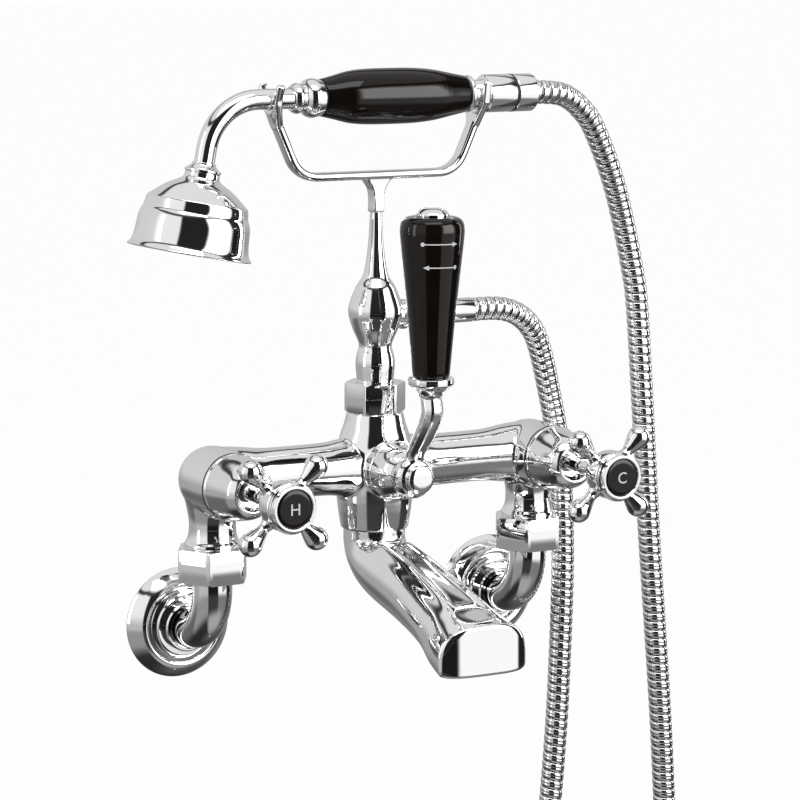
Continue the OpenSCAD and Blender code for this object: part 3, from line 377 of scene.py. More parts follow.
@dataclass(frozen=True)
class Finish:
    """A finish for one slot of the record: two close colours and roughnesses that drift over the surface."""

    name: str
    slot: str
    light: tuple
    dark: tuple
    smooth: float
    rough: float
    metallic: float = 0.0
    scale: float = 60.0
    grain: float = 0.0
    shine: float = 0.5
    gloss_finer: float = 1.7
    grain_finer: float = 14.0
    grain_depth: float = 0.2 * MM

    def material(self) -> bpy.types.Material:
        """Makes the material, or finds it if it is there.

        Returns:
            The material.
        """
        if self.name in bpy.data.materials:
            return bpy.data.materials[self.name]
        material = bpy.data.materials.new(self.name)
        material.use_nodes = True
        ink = NodeInk(material.node_tree)
        colours = ink.add("ShaderNodeMix", Factor=self.drift(ink, 0.0, 1.0, 1.0))
        colours.data_type = "RGBA"
        ink.feed(colours.inputs[MIX_A], (*self.light, 1.0))
        ink.feed(colours.inputs[MIX_B], (*self.dark, 1.0))
        shader = ink.fill(
            material.node_tree.nodes["Principled BSDF"], Base_Color=colours.outputs[MIX_RESULT],
            Metallic=self.metallic, Specular_IOR_Level=self.shine,
            Roughness=self.drift(ink, self.smooth, self.rough, self.gloss_finer),
        )
        if self.grain > 0:
            height = self.drift(ink, 0.0, 1.0, self.grain_finer)
            bump = ink.add("ShaderNodeBump", Strength=self.grain, Distance=self.grain_depth, Height=height)
            ink.fill(shader, Normal=bump.outputs["Normal"])
        return material

    def drift(self, ink: NodeInk, low: float, high: float, finer: float) -> bpy.types.NodeSocket:
        """Adds the shared mottle between two values.

        Args:
            ink: The material's nodes.
            low: Value in the troughs.
            high: Value on the crests.
            finer: How many times finer than the finish's own scale.

        Returns:
            The socket with the value.
        """
        group = ink.add("ShaderNodeGroup")
        group.node_tree = mottle_group()
        return ink.fill(group, Scale=self.scale * finer, Low=low, High=high).outputs["Value"]

    def dress(self, piece: bpy.types.Object) -> None:
        """Puts the material on a piece, in place of what it had."""
        piece.data.materials.clear()
        piece.data.materials.append(self.material())


CHROME = Finish(
    "polished_chrome", "chrome", (0.86, 0.865, 0.875), (0.83, 0.835, 0.845), 0.025, 0.05, metallic=1.0
)
HOSE_CHROME = Finish(
    "wound_chrome", "hose_chrome", (0.84, 0.845, 0.85), (0.78, 0.785, 0.795), 0.06, 0.12, metallic=1.0,
    scale=180.0,
)
# Painted shade: a near black finish on the faces in the grooves between turns of the hose's strip, where
# shade falls
PAINTED_GROOVE_SHADE = Finish(
    "strip_gap", "hose_chrome", (0.012, 0.012, 0.013), (0.020, 0.020, 0.021), 0.45, 0.6, scale=300.0
)
DARK_GLOSS = Finish(
    "dark_glaze", "dark_gloss", (0.0080, 0.0054, 0.0043), (0.0058, 0.0039, 0.0031), 0.03, 0.06, shine=0.28
)
WHITE_PRINT = Finish(
    "white_print", "dark_gloss", (0.80, 0.80, 0.79), (0.72, 0.72, 0.71), 0.30, 0.42, scale=400.0
)
BRASS = Finish("turned_brass", "brass", (0.78, 0.56, 0.22), (0.66, 0.46, 0.17), 0.18, 0.30, metallic=1.0)
CERAMIC = Finish("ground_ceramic", "ceramic", (0.82, 0.81, 0.78), (0.76, 0.75, 0.72), 0.12, 0.20)
# Black rubber for the washers; the same near black is painted shade on the rings between the barrels and
# bonnets and at the hose's tail
RUBBER_AND_GAP_SHADE = Finish(
    "black_rubber", "rubber", (0.010, 0.010, 0.010), (0.016, 0.016, 0.016), 0.6, 0.75, grain=0.4, scale=300.0
)


# Sub-assemblies


@dataclass
class SubAssembly:
    """A group of pieces that is built and dressed together."""

    body: Body
    made: list = field(default_factory=list)

    def keep(self, piece: bpy.types.Object, finish: Finish, *nodes: str) -> bpy.types.Object:
        """Gives a finished piece its body and its finish, and hides the nodes that it replaces.

        Args:
            piece: The finished object.
            finish: What it is dressed in.
            *nodes: Nodes that it replaces.

        Returns:
            The same object.
        """
        finish.dress(piece)
        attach(piece, self.body.value)
        if nodes:
            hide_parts(*nodes)
        self.made.append(piece.name)
        return piece

    def polished(
        self, node: str, finish: Finish = CHROME, edge: float = SOFT_EDGE, crease: float = CREASE
    ) -> None:
        """Replaces a node by its own shape with eased edges and smooth shading.

        Args:
            node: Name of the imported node.
            finish: What it is dressed in.
            edge: Width of the eased edges in metres, or 0 to leave them as they are.
            crease: Edges sharper than this, in degrees, are eased, and the others shaded smooth.
        """
        piece = merged_copy(node, f"{node}_finished")
        if edge > 0:
            apply_modifier(
                piece, "BEVEL", width=edge, segments=2, limit_method="ANGLE", angle_limit=math.radians(crease)
            )
        shade(piece, crease)
        self.keep(piece, finish, node)

    def cast(self, node: str, grain: float, rounds: int) -> bpy.types.Object:
        """Replaces a node by its own shape with the hollow corners filled, as a casting has them.

        Args:
            node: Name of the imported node.
            grain: Size in metres of the faces that the surface is built from.
            rounds: How often the surface is eased; more rounds give wider fillets.

        Returns:
            The new piece.
        """
        piece = merged_copy(node, f"{node}_cast")
        apply_modifier(piece, "REMESH", mode="VOXEL", voxel_size=grain)
        apply_modifier(piece, "SMOOTH", factor=0.5, iterations=rounds)
        select_only(piece)
        bpy.ops.object.shade_smooth()
        return self.keep(piece, CHROME, node)

    def dressed(self, node: str, finish: Finish) -> None:
        """Leaves a node's solid as it is and gives it a finish."""
        finish.dress(frame["nodes"][node])
        self.made.append(node)


@dataclass
class WallInlet(SubAssembly):
    """One supply: the bent inlet, its cover flange, the union nut and the washer."""

    side: Side = Side.HOT
    rim: tuple = ((11.2, 0.0), (27.6, 0.0))
    dome: tuple = ((27.75, 0.2), (27.75, 1.4), (25.15, 5.0), (20.75, 8.5), (17.1, 6.3))
    collar: tuple = (
        (15.5, 6.3), (15.5, 9.8), (14.8, 10.5), (12.5, 10.5), (12.5, 13.8), (11.8, 14.5), (11.2, 14.5),
    )
    dome_steps: int = 12

    def build(self) -> None:
        """Builds and dresses the inlet."""
        word = self.side.word
        self.polished(f"{word}_wall_elbow", edge=0.0)
        self.flange()
        self.polished(f"{word}_union_nut", edge=WIDE_EDGE, crease=HEXAGON_CREASE)
        self.dressed(f"{word}_union_washer", RUBBER_AND_GAP_SHADE)

    def flange(self) -> None:
        """Turns the cover flange, with its dome as one smooth curve."""
        word = self.side.word
        dome = smooth_through(self.dome, self.dome_steps)
        profile = [(r * MM, z * MM) for r, z in (*self.rim, *dome, *self.collar)]
        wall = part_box(f"{word}_wall_flange")[1][1]
        ring = revolve(f"{word}_flange_turned", profile, quarter_turned((self.side.value, wall, 0.0), "X"))
        shade(ring, CURVED_CREASE)
        self.keep(ring, CHROME, f"{word}_wall_flange")


@dataclass
class ValveHead(SubAssembly):
    """One valve: the fixed bonnet and seat."""

    side: Side = Side.HOT
    axis_z: float = 79 * MM
    # Place along Y, outer diameter and width of the dark ring of painted shade between the barrel and the
    # bonnet
    seam_y: float = -64.6 * MM
    seam_d: float = 33.1 * MM
    seam_w: float = 0.8 * MM

    def build(self) -> None:
        """Builds and dresses the valve head."""
        word = self.side.word
        self.polished(f"{word}_bonnet")
        self.dressed(f"{word}_fixed_disc", CERAMIC)
        self.seam()

    def seam(self) -> None:
        """Turns a dark ring of painted shade in the gap between the barrel and the bonnet."""
        outer, inner = self.seam_d / 2, self.seam_d / 2 - self.seam_w
        profile = [(inner, 0.0), (outer, 0.0), (outer, self.seam_w), (inner, self.seam_w)]
        place = quarter_turned((self.side.value, self.seam_y, self.axis_z), "X", -1)
        self.keep(revolve(f"{self.side.word}_seam", profile, place), RUBBER_AND_GAP_SHADE)


@dataclass
class CrossHandle(SubAssembly):
    """One crosshead handle with its spindle, bezel and lettered index."""

    side: Side = Side.HOT
    axis_z: float = 79 * MM
    front_y: float = -129.2 * MM
    letter_size: float = 7.9 * MM
    letter_rise: float = 0.12 * MM
    plump_by: float = 0.6 * MM
    plump_from: tuple = (14 * MM, 22 * MM)

    def build(self) -> None:
        """Builds and dresses the handle."""
        word = self.side.word
        self.dressed(f"{word}_moving_disc", CERAMIC)
        self.polished(f"{word}_spindle", edge=0.0)
        self.plump(self.cast(f"{word}_crosshead", grain=0.3 * MM, rounds=9))
        self.polished(f"{word}_bezel")
        self.polished(f"{word}_index", DARK_GLOSS)
        self.letter()

    def plump(self, piece: bpy.types.Object) -> None:
        """Fills out the pear shaped ends of the arms.

        Args:
            piece: The crosshead.
        """
        arms = piece.vertex_groups.new(name="arms")
        for corner in piece.data.vertices:
            reach = math.hypot(corner.co.x - self.side.value, corner.co.z - self.axis_z)
            arms.add([corner.index], soft_step(reach, *self.plump_from), "REPLACE")
        apply_modifier(piece, "DISPLACE", strength=self.plump_by, mid_level=0.0, vertex_group=arms.name)
        piece.vertex_groups.clear()

    def letter(self) -> None:
        """Sets the supply's initial on the index as a thin raised print."""
        bpy.ops.object.text_add()
        mark = bpy.context.object
        mark.data.body = self.side.name[0]
        mark.data.size = self.letter_size
        mark.data.extrude = self.letter_rise / 2
        bpy.ops.object.convert(target="MESH")
        mark = bpy.context.object
        mark.name = mark.data.name = f"{self.side.word}_letter"
        # Corners 0 and 6 of a bound box lie opposite each other
        low, high = (Vector(mark.bound_box[corner]) for corner in (0, 6))
        middle = Matrix.Translation(-(low + high) / 2)
        place = quarter_turned((self.side.value, self.front_y - self.letter_rise / 4, self.axis_z), "X")
        mark.data.transform(place @ middle)
        mark.matrix_world = Matrix()
        tidy_mesh(mark)
        self.keep(mark, WHITE_PRINT)


@dataclass
class BridgeBody(SubAssembly):
    """The bridge casting, with the domed housing of the diverter in its front."""

    def build(self) -> None:
        """Builds and dresses the body."""
        self.cast("mixer_body", grain=0.6 * MM, rounds=24)
        self.polished("diverter_bonnet")


class Section(NamedTuple):
    """One section of the spout, in millimetres and degrees, with its shape above and below the middle."""

    out: float
    up: float
    wide: float
    high: float
    lean: float
    square_above: float
    square_below: float
    ridges: float
    above: float


@dataclass
class Spout(SubAssembly):
    """The cast bath spout: it turns forward under the body and widens to a hooded mouth with a full face."""

    axis_out: float = 41.0
    top: float = 47.4
    reach: float = 149.0
    pipe: float = 31.0
    mouth_wide: float = 48.2
    mouth_high: float = 25.0
    mouth_drop: float = 40.0
    face_edge: float = 1.6
    edge_steps: int = 4
    face_shares: tuple = (0.97, 0.92, 0.84, 0.74, 0.62, 0.48, 0.32, 0.18, 0.08, 0.03)
    bulge: float = 4.4
    bulge_power: float = 3.0
    bulge_depth: float = 16.0
    ridge: float = 2.3
    ridge_place: float = 0.24
    ridge_wide: float = 2.6
    outlet: float = 19.0
    outlet_back: float = 15.0
    outlet_roof: float = 4.0
    outlet_sides: int = 64
    sides: int = 120
    steps: int = 10

    def stations(self) -> list:
        """Sections along the spout.

        Returns:
            The sections, from the body to the mouth.
        """
        out, top, pipe, reach = self.axis_out, self.top, self.pipe, self.reach
        wide, high = self.mouth_wide, self.mouth_high
        rows = (
            (out, top, pipe, pipe, 90, 2, 2, 0, 0.5),
            (out + 0.4, top - 7, pipe, pipe, 80, 2, 2, 0.2, 0.5),
            (out + 5, top - 14, pipe + 0.5, pipe, 58, 2, 2, 0.7, 0.5),
            (out + 18, top - 19.5, pipe + 1, pipe, 27, 2.2, 2.2, 1, 0.5),
            (out + 48, top - 26, pipe + 2, pipe - 1, 13, 2.3, 2.4, 1, 0.5),
            (reach - 30, top - 32.5, wide - 10, high + 3, 12, 2.3, 2.8, 0.9, 0.58),
            (reach - 12, top - 37.5, wide - 3, high + 1.5, 7, 2.7, 4, 0.2, 0.68),
            (reach - self.face_edge, top - self.mouth_drop, wide, high, -1, 2.7, 6, 0, 0.74),
        )
        return [Section(*row) for row in rows]

    def ring(self, s: Section) -> list:
        """One ring of the spout, with two ridges along its upper side.

        Args:
            s: The section.

        Returns:
            The ring's points in metres.
        """
        points = []
        lean = math.radians(s.lean)
        for k in range(self.sides):
            turn = 2 * math.pi * k / self.sides
            rise = math.sin(turn)
            power, share = (s.square_above, s.above) if rise >= 0 else (s.square_below, 1 - s.above)
            across = s.wide / 2 * self.squared_off(math.cos(turn), power)
            crest = (abs(across) - s.wide * self.ridge_place) / self.ridge_wide
            ridge = s.ridges * self.ridge * math.exp(-crest * crest) if rise > 0 else 0.0
            up = s.high * (0.5 - s.above + share * self.squared_off(rise, power)) + ridge
            points.append(Vector((across, -s.out - up * math.sin(lean), s.up + up * math.cos(lean))) * MM)
        return points

    @staticmethod
    def squared_off(value: float, power: float) -> float:
        """A sine or cosine pulled towards a square section: an oval has the power 2, a squarer one more."""
        return math.copysign(abs(value) ** (2 / power), value)

    def rings(self) -> list:
        """All rings, from the body to the middle of the full face.

        Returns:
            Lists of points in metres.
        """
        sections = [Section(*values) for values in smooth_through(self.stations(), self.steps)]
        rings = [self.bulged(self.ring(section), section.out) for section in sections]
        mouth = rings[-1]
        flat = [p - Vector((0, self.forward(p.x), 0)) for p in mouth]
        middle = sum(flat, Vector()) / len(flat)
        inset = 2 * self.face_edge / self.mouth_high
        turns = [math.pi / 2 * k / self.edge_steps for k in range(1, self.edge_steps + 1)]
        steps = [(1 - inset * (1 - math.cos(turn)), math.sin(turn)) for turn in turns]
        steps += [((1 - inset) * share, 1.0) for share in self.face_shares]
        for share, out in steps:
            inner = [middle + (p - middle) * share for p in flat]
            rings.append([p + Vector((0, self.forward(p.x) - self.face_edge * MM * out, 0)) for p in inner])
        return rings

    def forward(self, across: float) -> float:
        """How far the full face stands forward at a distance across: a negative step along Y, in metres."""
        share = abs(across) / (self.mouth_wide / 2 * MM)
        return -self.bulge * MM * (1 - min(1.0, share) ** self.bulge_power)

    def bulged(self, ring: list, out: float) -> list:
        """Pulls a ring that is near the mouth, by its distance out in millimetres, to meet the full face."""
        weight = soft_step(out, self.reach - self.bulge_depth, self.reach - self.face_edge)
        return [p + Vector((0, self.forward(p.x) * weight, 0)) for p in ring]

    def build(self) -> None:
        """Lofts the spout, bores its outlet and dresses it."""
        rings = self.rings()
        points = [p for ring in rings for p in ring]
        faces = ring_faces(len(rings), self.sides)
        for first in (0, len(points) - self.sides):
            faces.append(tuple(range(first, first + self.sides)))
        spout = new_piece("spout_cast", points, [], faces)
        tidy_mesh(spout)
        self.bore(spout)
        shade(spout, CURVED_CREASE)
        self.keep(spout, CHROME, "spout")

    def bore(self, spout: bpy.types.Object) -> None:
        """Bores the outlet into the underside.

        Args:
            spout: The lofted spout.
        """
        low = self.top - self.mouth_drop - self.mouth_high
        bpy.ops.mesh.primitive_cylinder_add(
            vertices=self.outlet_sides, radius=self.outlet / 2 * MM,
            depth=2 * (self.mouth_high - self.outlet_roof) * MM,
            location=(0, -(self.reach - self.outlet_back) * MM, low * MM),
        )
        drill = bpy.context.object
        apply_modifier(spout, "BOOLEAN", operation="DIFFERENCE", solver="EXACT", object=drill)
        bpy.data.objects.remove(drill)


@dataclass
class Riser(SubAssembly):
    """The turned riser with its nut, the hose outlet and the cradle."""

    axis_y: float = -41.0 * MM
    outlet_z: float = 154.0 * MM
    stub_r: float = 6.2 * MM
    stub_start: float = 8 * MM
    stub_end: float = 13.7 * MM
    stub_sides: int = 64
    sides: int = 128
    steps: int = 12
    side: tuple = (
        (9.2, 116), (9.2, 122), (9.8, 130), (9.2, 135), (8.3, 140), (11.9, 149), (13.5, 157.5), (10.1, 168),
        (6.0, 175.5), (3.8, 190.6), (3.0, 205.6),
    )

    def turned(self) -> None:
        """Turns the riser from one smooth profile, and the short stub that the hose's collar sits on."""
        curve = smooth_through(self.side, self.steps)
        curve = [(0.0, self.side[0][1]), *curve, (0.0, self.side[-1][1])]
        profile = [(r * MM, z * MM) for r, z in curve]
        riser = revolve("riser_turned", profile, Matrix.Translation((0, self.axis_y, 0)), self.sides)
        shade(riser, CREASE)
        self.keep(riser, CHROME, "riser")
        across = quarter_turned((0, self.axis_y, self.outlet_z), "Y")
        start, end = self.stub_start, self.stub_end
        outline = [(0.0, start), (self.stub_r, start), (self.stub_r, end), (0.0, end)]
        stub = revolve("riser_stub", outline, across, self.stub_sides)
        shade(stub, CREASE)
        self.keep(stub, CHROME)

    def build(self) -> None:
        """Builds and dresses the riser."""
        self.turned()
        self.polished("riser_nut", edge=WIDE_EDGE, crease=HEXAGON_CREASE)
        self.polished("hose_collar")
        self.polished("hose_sleeve", edge=WIDE_EDGE)
        self.cast("cradle", grain=0.4 * MM, rounds=16)
        self.dressed("riser_washer", RUBBER_AND_GAP_SHADE)


@dataclass
class Diverter(SubAssembly):
    """The diverter's lever, cap, stem and long dark grip with its two printed arrows."""

    grip_y: float = -97.0 * MM
    mark_turn: float = -13.0
    mark_half: float = 34.0
    mark_line: float = 0.55 * MM
    mark_heights: tuple = (196.2 * MM, 184.8 * MM)
    mark_strips: int = 24
    head_long: float = 6.0
    head_half: float = 2.2
    head_cover: float = 0.5
    dot_r: float = 1.9
    dot_sides: int = 16
    near_r: float = 16.0 * MM
    print_lift: float = 0.06 * MM
    print_depth: float = 0.1 * MM

    def outline(self) -> tuple:
        """The flat arrow: a shaft, and a head and a dot that are sized in widths of its line.

        Returns:
            Points as degrees round the grip and metres up, and the faces.
        """
        half, line = self.mark_half, self.mark_line
        turn = math.degrees(line / self.near_r)
        shaft = 2 * half - (self.head_long - self.head_cover) * turn
        points = []
        for k in range(self.mark_strips + 1):
            along = -half + shaft * k / self.mark_strips
            points += [(along, -line / 2), (along, line / 2)]
        faces = [(2 * k, 2 * k + 2, 2 * k + 3, 2 * k + 1) for k in range(self.mark_strips)]
        behind, wide = half - self.head_long * turn, self.head_half * line
        head = [(behind, -wide), (half, 0.0), (behind, wide)]
        angles = [2 * math.pi * k / self.dot_sides for k in range(self.dot_sides)]
        dot = [(-half + self.dot_r * turn * math.cos(a), self.dot_r * line * math.sin(a)) for a in angles]
        for part in (head, dot):
            faces.append(tuple(range(len(points), len(points) + len(part))))
            points += part
        return points, faces

    def arrow(self, name: str, height: float, way: int) -> None:
        """Prints one thin arrow with a dot at its tail round the front of the grip.

        Args:
            name: Name of the piece.
            height: Height of the arrow.
            way: 1 for an arrow that points right, -1 for left.
        """
        points, faces = self.outline()
        placed = []
        for along, up in points:
            a = math.radians(self.mark_turn + way * along)
            placed.append((self.near_r * math.sin(a), self.grip_y - self.near_r * math.cos(a), height + up))
        mark = new_piece(name, placed, [], faces)
        tidy_mesh(mark)
        apply_modifier(
            mark, "SHRINKWRAP", target=bpy.data.objects["lever_grip_finished"],
            wrap_method="NEAREST_SURFACEPOINT", offset=self.print_lift,
        )
        apply_modifier(mark, "SOLIDIFY", thickness=self.print_depth, offset=0.0)
        tidy_mesh(mark)
        self.keep(mark, WHITE_PRINT)

    def build(self) -> None:
        """Builds and dresses the diverter."""
        self.dressed("diverter_spindle", BRASS)
        self.dressed("lever_rod", BRASS)
        self.cast("diverter_lever", grain=0.4 * MM, rounds=36)
        self.polished("diverter_cap")
        self.polished("lever_collar")
        self.polished("lever_grip", DARK_GLOSS, WIDE_EDGE)
        self.polished("lever_button")
        self.arrow("shower_arrow", self.mark_heights[0], 1)
        self.arrow("bath_arrow", self.mark_heights[1], -1)


@dataclass
class Handset(SubAssembly):
    """The handset: neck, ferrules, dark grip, tail and rose."""

    axis_y: float = -41.0 * MM
    axis_z: float = 262.5 * MM
    # Place along X, outer diameter, width, depth and edge easing of the dark ring of painted shade between
    # the tail and the nut of the hose
    seal_x: float = 76.0 * MM
    seal_d: float = 19.1 * MM
    seal_w: float = 1.7 * MM
    seal_depth: float = 1.2 * MM
    seal_ease: float = 0.4
    pipe_crease: float = 50.0

    def build(self) -> None:
        """Builds and dresses the handset."""
        self.polished("neck_pipe", edge=0.0, crease=self.pipe_crease)
        for node in ("front_ferrule", "rear_ferrule", "tail_fitting", "rose_collar", "rose_bell"):
            self.polished(node)
        self.polished("hose_nut", edge=WIDE_EDGE)
        self.polished("handset_grip", DARK_GLOSS, WIDE_EDGE)
        self.polished("rose_plate", edge=0.0)
        self.seal()

    def seal(self) -> None:
        """Turns a dark ring of painted shade in the gap between the tail and the nut of the hose."""
        outer, half = self.seal_d / 2, self.seal_w / 2
        inner, ease = outer - self.seal_depth, half * self.seal_ease
        profile = [(inner, -half), (outer - ease, -half), (outer, -half + ease), (outer, half - ease)]
        profile += [(outer - ease, half), (inner, half)]
        place = quarter_turned((self.seal_x, self.axis_y, self.axis_z), "Y")
        self.keep(revolve("tail_seal", profile, place), RUBBER_AND_GAP_SHADE)


@dataclass
class Hose(SubAssembly):
    """The ribbed hose, wound from one strip, from the riser's outlet to the tail of the handset."""

    radius: float = 6.0 * MM
    groove: float = 0.95 * MM
    pitch: float = 4.7 * MM
    sides: int = 28
    smooth_steps: int = 24
    steps_per_turn: int = 8
    crease: float = 60.0
    strip: tuple = (
        (0.0, 1.0), (0.045, 0.55), (0.12, 0.20), (0.28, 0.03), (0.46, 0.0),
        (0.50, 0.10), (0.54, 0.0), (0.72, 0.03), (0.88, 0.20), (0.955, 0.55),
    )
    length: float = 1.255
    route: tuple = (
        (54.4, -41, 154), (66.4, -41, 154), (76, -40.5, 152.7), (84.5, -39, 149.2), (92, -37, 143.5),
        (98, -34.5, 136), (104, -31.5, 123), (110, -28.5, 106), (115, -27, 88), (118.5, -26, 68),
        (121, -25, 45), (122, -25, 10), (121, -25, -36), (119, -25, -80), (114, -25, -140),
        (106, -25, -200), (98, -25, -252), (94, -25, -292), (98, -25, -320), (112, -25, -340),
        (134, -25, -350), (158, -25, -348), (178, -25, -336), (191, -25, -316), (196, -25, -288),
        (195, -25, -240), (192, -25, -170), (186, -25, -80), (176, -25, 26), (170, -25, 100),
        (165.5, -25, 150), (161, -25.5, 172), (154.5, -27, 194), (147.5, -29.5, 212), (138.5, -32.5, 230),
        (128.5, -36, 245.5), (121.5, -38, 252.5), (114, -39.5, 258), (105.5, -40.5, 261.4),
        (92, -41, 262.5), (78.5, -41, 262.5),
    )

    def centreline(self) -> list:
        """Evenly spaced points along the hose.

        Returns:
            The points in metres.
        """
        fine = [p * MM for p in smooth_through(self.route, self.smooth_steps)]
        step = self.pitch / self.steps_per_turn
        line, left = [fine[0]], step
        for a, b in zip(fine, fine[1:]):
            span = (b - a).length
            at = left
            while at < span:
                line.append(a.lerp(b, at / span))
                at += step
            left = at - span
        return line + [fine[-1]]

    @staticmethod
    def frames(line: list) -> list:
        """Directions across the hose at each point of its centreline.

        Args:
            line: The points of the centreline.

        Returns:
            Pairs of a sideways and an upward direction.
        """
        side, pairs = Vector((0, 1, 0)), []
        for i in range(len(line)):
            ahead = (line[min(i + 1, len(line) - 1)] - line[max(i - 1, 0)]).normalized()
            side = (side - ahead * side.dot(ahead)).normalized()
            pairs.append((side, ahead.cross(side)))
        return pairs

    def skin(self, line: list) -> tuple:
        """The wound strip as rows of corners that follow the helix, closed by a cap at each end.

        Args:
            line: The points of the centreline.

        Returns:
            The corners and the faces.
        """
        frames, last, count = self.frames(line), len(line) - 1, self.sides
        turns = math.ceil(last / self.steps_per_turn) + 1
        rows = [(n + share, depth) for n in range(turns) for share, depth in self.strip] + [(turns, 1.0)]
        points = []
        for wound, depth in rows:
            for k in range(count):
                at = min(max((wound - k / count) * self.steps_per_turn, 0.0), last)
                i = min(int(at), last - 1)
                out = self.radius - self.groove * (depth if 0 < at < last else 1.0)
                side, up = (a.lerp(b, at - i) for a, b in zip(frames[i], frames[i + 1]))
                angle = 2 * math.pi * k / count
                across = math.cos(angle) * side + math.sin(angle) * up
                points.append(line[i].lerp(line[i + 1], at - i) + out * across)
        faces = []
        for r in range(len(rows) - 1):
            for k in range(count):
                ring = ((r, k), (r, k + 1), (r + 1, k + 1), (r + 1, k))
                faces.append(tuple(self.corner(*place) for place in ring))
        end = (len(rows) - 1) * count
        return points, faces + [tuple(reversed(range(count))), tuple(range(end, end + count))]

    def corner(self, row: int, k: int) -> int:
        """Number of a corner; past the last side of a row it is the first in the row one turn before."""
        return row * self.sides + k if k < self.sides else max(row - len(self.strip), 0) * self.sides

    def gaps(self, count: int) -> list:
        """For each face, the two caps last, 1 where the groove between two turns of the strip gets painted
        shade, or else 0.
        """
        beside = (0, len(self.strip) - 1)
        return [int(f // self.sides % len(self.strip) in beside) for f in range(count - 2)] + [0, 0]

    def build(self) -> None:
        line = self.centreline()
        points, faces = self.skin(line)
        hose = new_piece("ribbed_hose", points, [], faces)
        HOSE_CHROME.dress(hose)
        # The faces in the grooves between turns of the strip get painted shade
        hose.data.materials.append(PAINTED_GROOVE_SHADE.material())
        hose.data.polygons.foreach_set("material_index", self.gaps(len(faces)))
        tidy_mesh(hose)
        shade(hose, self.crease)
        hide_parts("hose")
        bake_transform(hose)
        self.made.append(hose.name)


# The studio


def soft_window(value: float, low: float, high: float, soft: float) -> float:
    """A window with soft sides of one width: 1 between low and high, 0 outside."""
    return soft_step(value, low, low + soft) * (1 - soft_step(value, high - soft, high))


def level_at(stops: tuple, turn: float) -> float:
    """Reads a brightness that is given at a few turns round the object.

    Args:
        stops: Pairs of turn in degrees and brightness, from -180 to 180.
        turn: Where to look.

    Returns:
        The brightness.
    """
    for (start, first), (end, last) in zip(stops, stops[1:]):
        if turn <= end:
            return first + (last - first) * soft_step(turn, start, end)
    return stops[-1][1]


